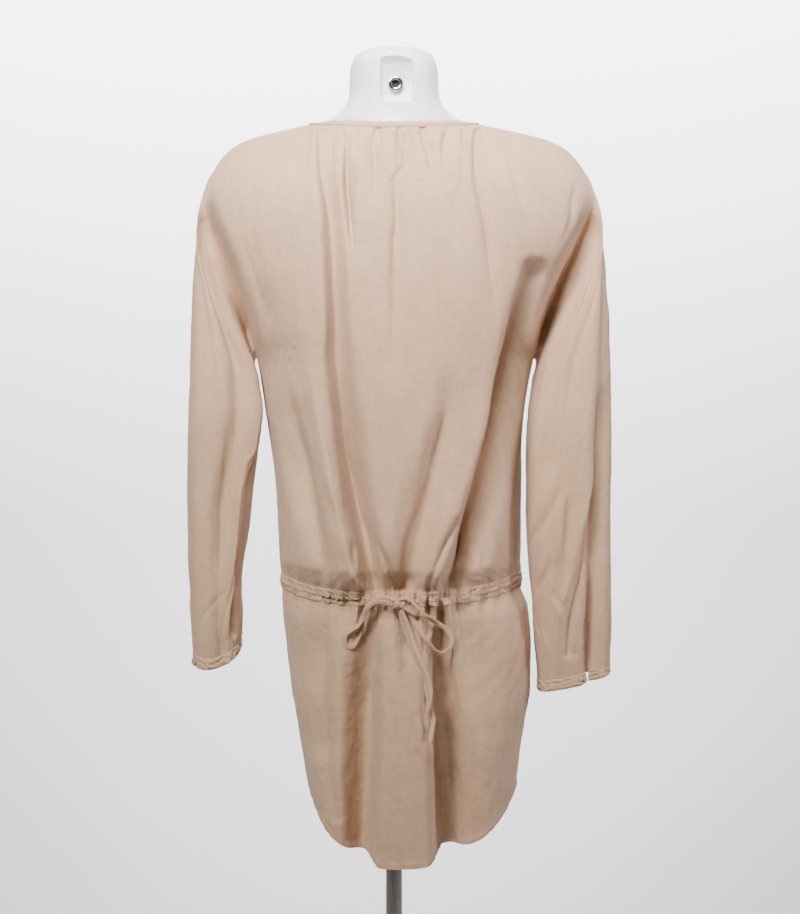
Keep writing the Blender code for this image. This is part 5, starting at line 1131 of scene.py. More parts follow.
def finish_of(name):
    """The finish of this name, made the first time that a piece needs it."""
    found = bpy.data.materials.get(name)
    if found:
        return found
    colours = bpy.context.scene.dress_colours
    cloth, steel = tuple(colours.cotton), tuple(colours.steel)
    makers = {
        "washed_voile": lambda: cotton_voile(name, cloth, 0.00105, 0.10),
        "cotton_bands": lambda: cotton_voile(name, shade(cloth, 0.93, 0.0), 0.00105, 0.04),
        "cotton_string": lambda: cotton_voile(name, shade(cloth, 0.90, 0.01), 0.0009, 0.04),
        "sewing_thread": lambda: sewing_thread(cloth),
        "satin_white_form": lambda: moulded_plastic(tuple(colours.form)),
        "chromed_brass": lambda: chromed_brass(tuple(colours.eyelet)),
        "painted_hole_shade": painted_hole_shade,
        "brushed_steel_pole": lambda: brushed_steel(name, steel, 6, 1400),
        "brushed_steel_foot": lambda: brushed_steel(name, steel, 60, 300),
        "button_resin": lambda: button_resin(tuple(colours.button)),
        "paper_sweep": lambda: paper_sweep(tuple(colours.paper)),
    }
    return makers[name]()


BACK_LEVELS = panel_levels(1.3870, 0.045, 40, ((0.900, 168), (0.8605, 22)))
BACK_COUNTS = (46, 44, 46, 48, 44, 46)
SKIRT_LEVELS = panel_levels(0.8605, 0, 0, ((0.820, 22), (0.576, 92), (0.567, 8)))
SKIRT_COUNTS = (34, 36, 34, 46, 34, 40, 34)
FRONT_LEVELS = panel_levels(1.3180, 0.045, 30, ((0.900, 118), (0.8605, 14)))
FRONT_SKIRT_LEVELS = panel_levels(0.8605, 0, 0, ((0.820, 14), (0.627, 56), (0.618, 6)))
SEAM_WIDTH = 0.0075
HALVES = (("left", -1, 1), ("right", 1, -1))


def back_panels():
    """The back's two panels as grids: shoulders to waist, and waist to hem."""
    bodice = section_grid(BACK_BODICE_ROWS, -1, BACK_LEVELS, BACK_BODICE_FOLDS, BODICE_CREASES, BODICE_LINES,
                          BACK_COUNTS, True, SEAM_WIDTH, 5)
    skirt = section_grid(BACK_SKIRT_ROWS, -1, SKIRT_LEVELS, BACK_SKIRT_FOLDS, SKIRT_CREASES, SKIRT_LINES,
                         SKIRT_COUNTS, False, SEAM_WIDTH, 5)
    return bodice, skirt


def front_panels(half):
    """The two panels of one half of the front as grids."""
    bodice = half_grid(FRONT_BODICE_ROWS, FRONT_LEVELS, FRONT_FOLDS, half, (10, 46, 54), True)
    skirt = half_grid(FRONT_SKIRT_ROWS, FRONT_SKIRT_LEVELS, FRONT_FOLDS, half, (10, 46, 54), False)
    return bodice, skirt


def cloth_piece(name, grid, side, sizes, nodes, every=4, closed=False):
    """A panel of voile as a piece that stands for its CAD nodes."""
    made = shell(name, grid, sizes.cloth, finish_of("washed_voile"), closed, side, every)
    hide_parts(*nodes)
    return made


def sew_back(sizes):
    bodice, skirt = back_panels()
    across = lengths(bodice)[0]
    for column, away in ((0, across - across[:, :1]), (-1, across[:, -1:] - across)):
        bodice[..., 1] += set_in(bodice[:, column, 2])[:, None] * np.exp(-np.abs(away / 0.0125) ** 1.8)
    bodice = evened(bodice, 1.06, 1.22)
    bodice = seam_raised(bodice, 1, ("first", "last"))
    bodice = worn_in(bodice, 1, sizes.crumple, 11, 0.024, 3.0)
    cloth_piece("back_bodice_cloth", bodice, 1, sizes,
                ["back_bodice"])
    skirt = hem_turned(skirt, 1, sizes)
    skirt = worn_in(skirt, 1, sizes.crumple * 1.25, 21, 0.022, 1.6)
    cloth_piece("back_skirt_cloth", skirt, 1, sizes,
                ["back_skirt"])
    facing = grid_normals(skirt, False)
    row = int(np.argmin(np.abs(lengths(skirt)[1][:, 140] - (lengths(skirt)[1][-1, 140] - sizes.hem + 0.001))))
    stitching("back_hem_stitches", [(skirt[row], facing[row])], sizes, finish_of("sewing_thread"))
    lines = []
    for column in (4, -5):
        lines.append((bodice[2:170, column], facing_of(bodice, 1)[2:170, column]))
    stitching("armhole_stitches", lines, sizes, finish_of("sewing_thread"))


def facing_of(grid, side, closed=False):
    return grid_normals(grid, closed) * side


def hem_turned(grid, side, sizes):
    """The grid with its last few millimetres a little proud, where the hem is turned up inside."""
    down = lengths(grid)[1]
    away = down[-1:] - down
    lift = 0.0006 * ease((sizes.hem - away) / 0.0012)
    across = lengths(grid)[0]
    ripple = 0.0005 * crumple(across, 0 * across, 0.011, 5) * ease((sizes.hem * 1.6 - away) / 0.006)
    return grid + facing_of(grid, side)[:, :, :] * (lift + ripple)[..., None]


def sew_front(sizes):
    """The four front panels. The front isn't seen in the photograph."""
    hems = []
    for name, half, side in HALVES:
        bodice, skirt = front_panels(half)
        bodice = worn_in(bodice, side, sizes.crumple, 31 + half, 0.026, 3.0)
        cloth_piece(f"front_bodice_{name}_cloth", bodice, side, sizes,
                    [f"front_bodice_{name}"])
        skirt = hem_turned(skirt, side, sizes)
        skirt = worn_in(skirt, side, sizes.crumple, 41 + half, 0.024, 2.0)
        cloth_piece(f"front_skirt_{name}_cloth", skirt, side, sizes,
                    [f"front_skirt_{name}"])
        down = lengths(skirt)[1][:, 60]
        row = int(np.argmin(np.abs(down - (down[-1] - sizes.hem + 0.001))))
        hems.append((skirt[row], facing_of(skirt, side)[row]))
    stitching("front_hem_stitches", hems, sizes, finish_of("sewing_thread"))


def casing_grid():
    """The waist casing's back and front runs as grids that lie on the panels."""
    upper, lower = np.linspace(0.8688, 0.8605, 9), np.linspace(0.8605, 0.8522, 9)[1:]
    runs = []
    for facing, tables in ((-1, (BACK_BODICE_ROWS, BACK_BODICE_FOLDS, BODICE_CREASES, BACK_SKIRT_ROWS,
                                 BACK_SKIRT_FOLDS, SKIRT_CREASES)),
                           (1, (FRONT_BODICE_ROWS, FRONT_FOLDS, (), FRONT_SKIRT_ROWS, FRONT_FOLDS, ()))):
        rows_up, folds_up, creases_up, rows_low, folds_low, creases_low = tables
        curves = [section(rows_up, facing, z, folds_up, True, creases_up) for z in upper]
        curves += [section(rows_low, facing, z, folds_low, False, creases_low) for z in lower]
        runs.append(np.array([spread(curve, (), (420,)) for curve in curves]))
    return runs


def sew_casing(sizes):
    """The stitched-down casing at the low waist, which the drawstring runs in and puckers."""
    lines = []
    for name, grid, side in zip(("back", "front"), casing_grid(), (1, -1)):
        facing = facing_of(grid, side)
        across, down = lengths(grid)
        middle = down[-1:] / 2
        string = np.exp(-((down - middle) / 0.0026) ** 2)
        wander = crumple(across, 0 * across, 0.019, 61)
        pleats = np.sin(2 * math.pi * across / 0.0052 + 2.2 * wander) * (0.55 + 0.45 * wander)
        puff = 0.0011 * string + 0.0005 * pleats + 0.0003 * crumple(across, down, 0.009, 62, 2.0)
        nodes = ["waist_casing_back"] if side > 0 else ["waist_casing_front_left", "waist_casing_front_right"]
        made = strip(f"waist_casing_{name}_cloth", grid, facing, 0.0002, 0.0011, finish_of("cotton_bands"),
                     side, 0.0012, puff)
        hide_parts(*nodes)
        for row in (2, -3):
            lines.append(((grid + facing * (0.0011 + puff)[..., None])[row], facing[row]))
    stitching("waist_casing_stitches", lines, sizes, finish_of("sewing_thread"))


def armhole_levels(angles):
    """Which panel each sleeve column meets, and at which of its levels."""
    back = (1.387, 1.384, 1.378, 1.369, 1.356, 1.337, 1.310, 1.278, 1.245, 1.210, 1.170, 1.130)
    front = (1.318, 1.3155, 1.310, 1.301, 1.287, 1.270, 1.250, 1.230, 1.206, 1.180, 1.155, 1.130)
    step = angles * 22 / 360
    numbers = np.arange(12.0)
    on_back = step <= 11
    levels = np.where(on_back, smooth(step, numbers, back), smooth(22 - step, numbers, front))
    return on_back, levels


def armhole(end, angles):
    """The loop of points round an armhole, and the way the cloth runs off each of them."""
    loop, leave = [], []
    for on_back, level in zip(*armhole_levels(angles)):
        if on_back:
            curve = section(BACK_BODICE_ROWS, -1, level, BACK_BODICE_FOLDS, True, BODICE_CREASES)
        else:
            curve = section(FRONT_BODICE_ROWS, 1, level, FRONT_FOLDS, True, ())
        curve = curve if end > 0 else curve[::-1]
        along = run_along(curve[::-1])
        near = [np.interp(0.022, along, curve[::-1, c]) for c in range(3)]
        loop.append(curve[-1])
        leave.append(curve[-1] - near)
    return np.array(loop), unit(np.array(leave))


def sleeve_grid(side, columns_round=200):
    """A sleeve from its armhole to its cuff, as one closed grid."""
    end = SLEEVE_SIDES[side]
    angles = np.arange(columns_round) * 360.0 / columns_round
    loop, leave = armhole(end, angles)
    low_share = (0.5 - 0.5 * np.cos(np.radians(angles)))[:, None]
    sideways = np.tile([float(end), 0.0, 0.0], (columns_round, 1))
    way = unit(leave * (1 - low_share) + sideways * low_share)
    beyond = np.roll(way, 1, 0) + np.roll(way, -1, 0) + np.roll(way, 2, 0) + np.roll(way, -2, 0)
    way = unit((way + beyond) / 5)
    levels = np.linspace(1.1000, SLEEVE_END[side], 112)
    rings = [sleeve_ring(side, z, angles) for z in levels]
    first = rings[0]
    reach = np.linalg.norm(first - loop, axis=1)[:, None]
    depart = way * reach * (0.30 + 0.45 * low_share)
    arrive = np.tile([0.0, 0.0, -1.0], (columns_round, 1)) * reach * (1.2 - 0.1 * low_share)
    cap = []
    for t in np.linspace(0, 1, 60)[:-1] ** 1.15:
        a, b = 2 * t**3 - 3 * t**2 + 1, t**3 - 2 * t**2 + t
        c, d = 3 * t**2 - 2 * t**3, t**3 - t**2
        cap.append(a * loop + b * depart + c * first + d * arrive)
    grid = np.array(cap + rings)
    depth = np.where(armhole_levels(angles)[0], set_in(loop[:, 2]), 0.0)
    grid[..., 1] += depth * np.exp(-(lengths(grid)[1] / 0.036) ** 1.5)
    return grid, angles


def sleeve_creased(grid, angles, side):
    """The sleeve with the creases seen in it, and the small puckers at its seams."""
    out = -SLEEVE_SIDES[side]
    facing = grid_normals(grid, True) * out
    turn = np.broadcast_to(angles, grid.shape[:2])
    creases = LEFT_SLEEVE_CREASES if side == "left" else RIGHT_SLEEVE_CREASES
    moved = crease_out(creases, turn.ravel(), grid[..., 2].ravel()).reshape(turn.shape)
    down = lengths(grid)[1]
    wave = np.cos(np.radians(turn) * 34 + 2.2 * np.sin(np.radians(turn) * 5))
    moved = moved + 0.00045 * wave * ease(down / 0.003) * np.exp(-down / 0.009)
    low = down[-1:] - down
    close = np.cos(np.radians(turn) * 41 + 1.7 * np.sin(np.radians(turn) * 7))
    moved = moved + 0.0007 * close * ease(low / 0.001) * np.exp(-low / 0.010)
    slit = (turn - SLIT_ANGLE[side] + 180) % 360 - 180
    moved = moved - 0.0035 * np.exp(-np.abs(slit / 1.8) ** 2) * ease((0.062 - low) / 0.006)
    return grid + facing * moved[..., None]


def sew_sleeves(sizes):
    """The two long sleeves, their cuffs and the bound slits above them."""
    lines = []
    for name in SLEEVE_SIDES:
        side = -SLEEVE_SIDES[name]
        grid, angles = sleeve_grid(name)
        grid = sleeve_creased(grid, angles, name)
        grid = worn_in(grid, side, sizes.crumple, 71 + side, 0.020, 2.4, closed=True)
        cloth_piece(f"sleeve_{name}_cloth", grid, side, sizes,
                    [f"sleeve_{name}"], 4, True)
        facing = facing_of(grid, side, True)
        lines += cuff_pieces(name, side, grid, facing, angles, sizes)
    stitching("cuff_stitches", lines, sizes, finish_of("sewing_thread"))


def cuff_pieces(name, side, grid, facing, angles, sizes):
    """A narrow cuff, open at the slit, with its button, and the slit's two bindings. Returns stitch lines."""
    start = int(np.argmin(np.abs(angles - SLIT_ANGLE[name] - 3)))
    order = np.roll(np.arange(len(angles)), -start)
    order = order[: len(angles) - 3]
    ring, out = grid[-1][order], facing[-1][order].copy()
    out[:, 2] = 0
    out = unit(out)
    share = np.linspace(0, 1, len(order))
    fall = np.linspace(-0.0012, CUFF_DEPTH + SEAM_GAP, 12)
    drop = np.array([0, 0, -1.0])
    wave = crumple(share[None, :] * 0.3 + 0 * fall[:, None], fall[:, None] * 3 + 0 * share[None, :],
                   0.013, 81 + side)
    rows = ring[None] + drop * fall[:, None, None] - out[None] * (0.0008 * share[None, :, None])
    rows = rows + out[None] * (0.0006 * wave)[..., None]
    made = strip(f"cuff_{name}_cloth", rows, np.broadcast_to(out, rows.shape), -0.0006, 0.0011,
                 finish_of("cotton_bands"), side, 0.0014)
    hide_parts(f"cuff_{name}")
    lines = [(rows[k] + out * 0.0011, out) for k in (2, -3)]
    place = rows[6][5] * 0.5 + rows[6][6] * 0.5
    button_at(f"cuff_button_{name}_resin", place + out[5] * 0.0012, out[5], sizes.button * 0.8)
    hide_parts(f"cuff_button_{name}")
    bindings = []
    low = int(np.argmin(np.abs(lengths(grid)[1][:, 0] - (lengths(grid)[1][-1, 0] - 0.058))))
    for k, (a, b) in enumerate(((-5.5, -1.2), (1.2, 5.5))):
        lines_at = SLIT_ANGLE[name] + np.linspace(a, b, 7)
        at = lines_at / 360 * len(angles)
        i, f = np.floor(at).astype(int) % len(angles), (at % 1)[:, None]
        part = grid[low:, i] * (1 - f) + grid[low:, (i + 1) % len(angles)] * f
        normal = unit(facing[low:, i] * (1 - f) + facing[low:, (i + 1) % len(angles)] * f)
        made = strip(f"slit_binding_{name}_{k + 1}", part, normal, 0.0001, 0.0012 + 0.0004 * k,
                     finish_of("cotton_bands"), side, 0.0008)
        if k == 0:
            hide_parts(f"sleeve_slit_{name}")
        bindings.append((part[:, 5 if k == 0 else 1] + normal[:, 3] * 0.0012, normal[:, 3]))
    return lines + bindings


def sew_neckband(sizes):
    """The narrow bias binding round the neck, from one edge of the button band round to the other."""
    nape = section(BACK_BODICE_ROWS, -1, BACK_LEVELS[0], BACK_BODICE_FOLDS, True)
    nape = nape[np.abs(nape[:, 0]) <= NECK_HALF]
    front = section(FRONT_BODICE_ROWS, 1, FRONT_LEVELS[0], FRONT_FOLDS, True)
    left = front[(front[:, 0] > -NECK_HALF) & (front[:, 0] <= -0.0004)][::-1]
    right = front[(front[:, 0] < NECK_HALF) & (front[:, 0] >= 0.0004)][::-1]
    line = spread(np.concatenate([left, nape, right]), (), (320,))
    for _ in range(6):
        line[1:-1] = (line[:-2] + 2 * line[1:-1] + line[2:]) / 4
    inward = unit(-line * (1, 1, 0))
    across = unit(np.gradient(line, axis=0))
    across[[0, -1]] = (-1.0, 0.0, 0.0)
    steep = np.where(line[:, 1:2] < 0, 0.80, 0.60)
    for _ in range(20):
        steep[1:-1] = (steep[:-2] + 2 * steep[1:-1] + steep[2:]) / 4
    up = inward * (1 - steep) + np.array([0, 0, 1.0]) * steep
    up = unit(up - across * (up * across).sum(axis=1, keepdims=True))
    out = unit(np.cross(across, up))
    out *= np.sign((out * (line * (1, 1, 0))).sum(axis=1, keepdims=True))
    along = run_along(line)
    tall = sizes.neckband
    full = 0.42 + 0.58 * ease((1 - np.abs(line[:, 0]) / NECK_HALF) / 0.30)
    profile = [(-0.0010, 0.0004), (-0.0004, 0.0011), (0.0012, 0.0013), (0.0034, 0.0011),
               (tall - 0.0014, 0.0009), (tall - 0.0004, 0.0004), (tall, -0.0003),
               (tall - 0.0005, -0.0011), (tall - 0.0016, -0.0015),
               (0.0030, -0.0016), (0.0, -0.0015), (-0.0009, -0.0008)]
    rows = []
    for k, (height, depth) in enumerate(profile):
        wave = 0.00022 * crumple(along, 0 * along + k * 0.002, 0.009, 91)
        rows.append(line + up * (height * full + 0.6 * wave)[:, None] + out * (depth + wave)[:, None])
    ring = np.array(rows)
    count = len(profile)
    numbers = np.arange(ring.shape[0] * ring.shape[1]).reshape(ring.shape[:2])
    faces = [tuple(f) for f in quads(np.concatenate([numbers, numbers[:1]]), False).tolist()]
    faces = [f[::-1] for f in faces + [tuple(numbers[:, 0].tolist()), tuple(numbers[::-1, -1].tolist())]]
    across = np.tile(np.arange(count)[:, None] * 0.0012, (1, len(along)))
    cut = np.stack([np.tile(along, (count, 1)), across], -1).reshape(-1, 2)
    made = piece("neckband_binding", ring.reshape(-1, 3), faces, finish_of("cotton_bands"), cut, 60)
    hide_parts("neckband")
    edge = line + up * 0.0014 + out * 0.0013
    stitching("neckband_stitches", [(edge, out)], sizes, finish_of("sewing_thread"))


def button_at(name, place, way, radius):
    """A four-hole button with a raised rim and its thread, its back on a place and facing a way."""
    thick = BUTTON_THICK * radius / BUTTON_RADIUS
    profile = [(0.0, 0.0), (0.80, 0.0), (0.97, 0.28), (1.0, 0.55), (0.96, 0.86), (0.88, 1.0), (0.78, 0.96),
               (0.70, 0.70), (0.62, 0.60), (0.30, 0.58), (0.0, 0.58)]
    shape = bmesh.new()
    count = 32
    rings = []
    for share, height in profile:
        if share == 0:
            rings.append([shape.verts.new((0, 0, height * thick))])
            continue
        rings.append([shape.verts.new((share * radius * math.cos(2 * math.pi * i / count),
                                       share * radius * math.sin(2 * math.pi * i / count), height * thick))
                      for i in range(count)])
    for a, b in zip(rings, rings[1:]):
        for i in range(count):
            j = (i + 1) % count
            loop = [a[i % len(a)], a[j % len(a)], b[j % len(b)], b[i % len(b)]]
            shape.faces.new(list(dict.fromkeys(loop)))
    for turn in range(4):
        angle = math.pi / 4 + turn * math.pi / 2
        spot = Vector((math.cos(angle), math.sin(angle), 0)) * radius * 0.24
        hole = bmesh.ops.create_cone(shape, cap_ends=True, segments=10, radius1=radius * 0.115,
                                     radius2=radius * 0.10, depth=thick * 0.16)["verts"]
        bmesh.ops.translate(shape, verts=hole, vec=spot + Vector((0, 0, thick * 0.56)))
    for turn in range(2):
        thread = bmesh.ops.create_cone(shape, cap_ends=True, segments=8, radius1=0.00042, radius2=0.00042,
                                       depth=radius * 0.50)["verts"]
        lay = Matrix.Rotation(math.pi / 4 + turn * math.pi / 2, 4, "Z") @ Matrix.Rotation(math.pi / 2, 4, "Y")
        bmesh.ops.transform(shape, matrix=Matrix.Translation((0, 0, thick * 0.66)) @ lay, verts=thread)
    bmesh.ops.recalc_face_normals(shape, faces=shape.faces)
    turn = Vector(way).to_track_quat("Z", "Y").to_matrix().to_4x4()
    bmesh.ops.transform(shape, matrix=Matrix.Translation(Vector(place)) @ turn, verts=shape.verts)
    made = shaped(name, shape, finish_of("button_resin"), 45)
    return made


def sew_placket(sizes):
    """The button band down the front, and its buttons."""
    parts = {half: [np.concatenate([b, s[1:]]) for b, s in [front_panels(half)]][0] for half in (-1, 1)}
    left, right = parts[-1][:, 10::-1], parts[1][:, 1:11]
    grid = np.concatenate([left, right], axis=1)[:-1]
    facing = facing_of(grid, -1)
    across, down = lengths(grid)
    puff = 0.00018 * crumple(across, down, 0.015, 95, 1.5)
    bands = finish_of("cotton_bands")
    made = strip("button_band_cloth", grid, facing, 0.0002, 0.0015, bands, -1, 0.0012, puff)
    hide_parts("button_placket")
    top = grid + facing * (0.0015 + puff)[..., None]
    stitching("button_band_stitches", [(top[:, k], facing[:, k]) for k in (2, -3)], sizes,
              finish_of("sewing_thread"))
    line, out = top[:, 10], facing[:, 10]
    along = run_along(line)
    first, last = 0.014, along[-1] - 0.120
    for k in range(BUTTONS):
        at = first + (last - first) * k / (BUTTONS - 1)
        place = np.array([np.interp(at, along, line[:, c]) for c in range(3)])
        way = unit(np.array([np.interp(at, along, out[:, c]) for c in range(3)]))
        made = button_at(f"button_{k + 1}_resin", place - way * 0.0001, way, sizes.button)
        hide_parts(f"button_{k + 1}")


def soft_tube(points, wide, thick, facing, count=16, twist=0.0, taper=None):
    """Rings of a soft flattened string along a path, its flat side towards facing."""
    points = np.asarray(points)
    ahead = unit(np.gradient(points, axis=0))
    facing = np.broadcast_to(np.asarray(facing, float), points.shape)
    normal = unit(facing - ahead * (facing * ahead).sum(axis=1, keepdims=True))
    for _ in range(4):
        normal[1:-1] = unit((normal[:-2] + normal[1:-1] * 2 + normal[2:]) / 4)
        normal = unit(normal - ahead * (normal * ahead).sum(axis=1, keepdims=True))
    beside = np.cross(ahead, normal)
    along = run_along(points)
    turn = twist * np.sin(along / 0.019 + points[0, 0] * 900)
    cos, sin = np.cos(turn)[:, None], np.sin(turn)[:, None]
    normal, beside = normal * cos + beside * sin, beside * cos - normal * sin
    angle = 2 * math.pi * np.arange(count) / count
    across = np.sign(np.cos(angle)) * np.abs(np.cos(angle)) ** 0.8
    up = np.sign(np.sin(angle)) * np.abs(np.sin(angle)) ** 0.8
    dent = 1 - 0.30 * np.exp(-(across / 0.35) ** 2)
    size = np.ones(len(points)) if taper is None else taper
    wave = 1 + 0.10 * crumple(along, 0 * along, 0.010, 7)
    sideways = (across[None] * (wide / 2 * size * wave)[:, None])[..., None]
    outward = (up[None] * dent[None] * (thick / 2 * size)[:, None])[..., None]
    rings = points[:, None] + beside[:, None] * sideways + normal[:, None] * outward
    return rings, along, angle


def tube_faces(rings, start=0):
    """The faces of a tube of rings, with its ends closed."""
    numbers = start + np.arange(rings.shape[0] * rings.shape[1]).reshape(rings.shape[:2])
    faces = [tuple(f) for f in quads(numbers, True).tolist()]
    return faces + [tuple(numbers[0][::-1].tolist()), tuple(numbers[-1].tolist())]


def tube_piece(name, rings, along, finish):
    count = rings.shape[1]
    across = np.tile(np.arange(count) * 0.0008, (len(along), 1))
    cut = np.stack([np.tile(along[:, None], (1, count)), across], -1)
    return piece(name, rings.reshape(-1, 3), tube_faces(rings), finish, cut.reshape(-1, 2), 70)


def frayed_end(name, tip, ahead, seed, finish):
    """The loose threads at the cut end of a string."""
    dice = np.random.default_rng(seed)
    points, faces = [], []
    for _ in range(16):
        length = dice.uniform(0.004, 0.011)
        side = dice.normal(0, 0.30, 3)
        way = unit(np.array(ahead) + side)
        start = np.array(tip) + dice.uniform(-1, 1, 3) * (0.0018, 0.0004, 0.0002)
        bend = np.array([0, 0, -1.0]) * length * 0.35
        t = np.linspace(0, 1, 7)[:, None]
        path = start + way * length * t + bend * t**2 + dice.normal(0, 0.0002, (7, 3)) * t
        rings = soft_tube(path, 0.00034, 0.00030, (0, -1, 0.01), 5)[0]
        faces += tube_faces(rings, len(points))
        points += list(rings.reshape(-1, 3))
    return piece(name, points, faces, finish, None, 60)


def tie_bow(sizes):
    """The drawstring's bow: a knot, two loops, and two tails with frayed ends."""
    string = finish_of("cotton_string")
    made = {}
    for name, route in BOW_ROUTES.items():
        points = smooth_route(route, 0.0014)
        rings, along, _ = soft_tube(points, sizes.string, sizes.string * 0.46, (0, -1, 0.02), 16, 0.45)
        cord = tube_piece(f"{name}_string", rings, along, string)
        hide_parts(name)
        made[name] = (cord, points, float(along[-1]))
    for name, (cord, points, length) in made.items():
        loop = "loop" in name
        if not loop:
            ahead = unit(points[-1] - points[-4])
            frayed_end(f"{name}_fray", points[-1], ahead, 101 + len(name), string)
    tie_knot(sizes, string)


def tie_knot(sizes, string):
    """The bow's knot: the string wound round its own base, with the small loop that stands on it."""
    centre, half = np.array(KNOT), np.array(KNOT_HALF)
    parts = []
    turn = np.linspace(0, 2 * math.pi, 46)
    for tilt, wide, shift, out in (
            (0.10, 0.0048, -0.0034, 0.96), (0.35, 0.0046, 0.0012, 1.0), (-0.45, 0.0040, 0.0046, 0.9)):
        x = shift + 0.0016 * np.sin(turn + tilt * 3) + tilt * 0.004 * np.cos(turn)
        y = -out * half[1] * 0.84 * np.cos(turn)
        z = half[2] * 0.86 * np.sin(turn)
        path = centre + np.stack([x, y, z], axis=1)
        ends = unit(path - centre - np.stack([x, 0 * x, 0 * x], axis=1))
        rings, along, _ = soft_tube(path, wide, 0.0021, ends, 14, 0.1)
        parts.append((rings, along))
    small = np.array([(0.0030, -0.1190, 0.8575), (0.0060, -0.1222, 0.8610), (0.0120, -0.1236, 0.8628),
                      (0.0190, -0.1236, 0.8602), (0.0240, -0.1222, 0.8545), (0.0262, -0.1204, 0.8490),
                      (0.0236, -0.1196, 0.8462), (0.0180, -0.1206, 0.8486), (0.0110, -0.1216, 0.8528)])
    rings, along, _ = soft_tube(smooth_route(small, 0.0012), 0.0040, 0.0019, (0, -1, 0.3), 14, 0.3)
    parts.append((rings, along))
    points, faces = [], []
    for rings, along in parts:
        faces += tube_faces(rings, len(points))
        points += list(rings.reshape(-1, 3))
    core = bmesh.new()
    bmesh.ops.create_icosphere(core, subdivisions=4, radius=1.0)
    start = len(points)
    core.verts.ensure_lookup_table()
    points += [centre + np.array(v.co) * half * (0.86, 0.72, 0.80) for v in core.verts]
    faces += [tuple(start + v.index for v in f.verts) for f in core.faces]
    core.free()
    points = np.array(points)
    cut = np.stack([points[:, 0] * 1.1, points[:, 2] * 1.1 + points[:, 1]], axis=-1)
    made = piece("bow_knot_string", points, faces, string, cut, 70)
    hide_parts("bow_knot")


def inside_cloth(point, trees):
    """A point of the form, drawn in towards the form's core where the cloth would touch it."""
    core = Vector((0.80 * point.x, 0.10 * point.y, min(point.z, 1.330)))
    way = point - core
    reach = way.length
    way.normalize()
    room = reach
    clear = 0.0045 + 0.009 * float(ease((1.365 - point.z) / 0.03))
    if abs(point.x) > 0.08 and point.z > 1.33:
        clear = 0.0009
    for tree in trees:
        hit = tree.ray_cast(core, way, reach + clear)
        if hit[0] is not None:
            room = min(room, hit[3] - clear)
    return core + way * room


def make_form(sizes):
    """The form from neck to waist, drawn in under the cloth, with the wedge-shaped niche at its nape."""
    graph = bpy.context.evaluated_depsgraph_get()
    worn = ("back_bodice_cloth", "front_bodice_left_cloth", "front_bodice_right_cloth", "sleeve_left_cloth",
            "sleeve_right_cloth", "neckband_binding")
    trees = [BVHTree.FromObject(bpy.data.objects[name], graph) for name in worn]
    table = columns(FORM_COLUMNS, FORM_ROWS)
    count = 120
    angle = np.linspace(0, 2 * math.pi, count, endpoint=False)
    levels = np.concatenate([np.linspace(0.930, 1.330, 60)[:-1], np.linspace(1.330, 1.432, 34)[:-1],
                             np.linspace(1.432, 1.475, 14)[:-1],
                             1.485 - 0.010 * (1 - np.linspace(0, 1, 12)) ** 2])
    at = {name: smooth(levels, table["z"], table[name]) for name in FORM_COLUMNS}
    shape = bmesh.new()
    rings = []
    for k, z in enumerate(levels):
        deep = np.where(np.sin(angle) < 0, -at["back"][k], at["front"][k])
        x = at["half"][k] * np.cos(angle)
        y = deep * np.sign(np.sin(angle)) * np.abs(np.sin(angle)) ** (2 * at["pointed"][k])
        places = [Vector((px, py, z)) for px, py in zip(x, y)]
        if z < NECK_FOOT:
            places = [inside_cloth(place, trees) for place in places]
        rings.append([shape.verts.new(place) for place in places])
    for low, high in zip(rings, rings[1:]):
        for i in range(count):
            j = (i + 1) % count
            shape.faces.new((low[i], low[j], high[j], high[i]))
    shape.faces.new(rings[0][::-1])
    shape.faces.new(rings[-1])
    form = shaped("dress_form_shell", shape, finish_of("satin_white_form"), 38)
    tool = shaped("niche_tool", niche_wedge(), finish_of("satin_white_form"))
    cut = form.modifiers.new("niche", "BOOLEAN")
    cut.object, cut.operation, cut.solver = tool, "DIFFERENCE", "EXACT"
    graph = bpy.context.evaluated_depsgraph_get()
    carved = bpy.data.meshes.new_from_object(form.evaluated_get(graph))
    form.modifiers.clear()
    form.data = carved
    bpy.data.objects.remove(tool)
    carved.shade_smooth()
    carved.set_sharp_from_angle(angle=math.radians(38))
    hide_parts("dress_form")
    make_eyelet()


def niche_wedge():
    """The niche's hollow: upright sides, a flat floor, and a back that comes out to nothing at the top."""
    middle, half = NICHE["x"], NICHE["half"]
    low, high = NICHE["low"], NICHE["high"] + 0.006
    surface = -0.051
    shape = bmesh.new()
    wall = surface + NICHE["depth"]
    section_points = [(surface - 0.02, low), (wall, low), (wall, low + 0.024), (surface + 0.008, high - 0.010),
                      (surface - 0.002, high + 0.004), (surface - 0.02, high + 0.004)]
    left = [shape.verts.new((middle - half, y, z)) for y, z in section_points]
    right = [shape.verts.new((middle + half, y, z)) for y, z in section_points]
    shape.faces.new(left)
    shape.faces.new(right[::-1])
    for i in range(len(left)):
        j = (i + 1) % len(left)
        shape.faces.new((left[j], left[i], right[i], right[j]))
    bmesh.ops.recalc_face_normals(shape, faces=shape.faces)
    edges = [e for e in shape.edges if all(v.co.y > surface - 0.01 for v in e.verts)]
    bmesh.ops.bevel(shape, geom=edges, offset=0.0022, segments=4, affect="EDGES", profile=0.5)
    return shape


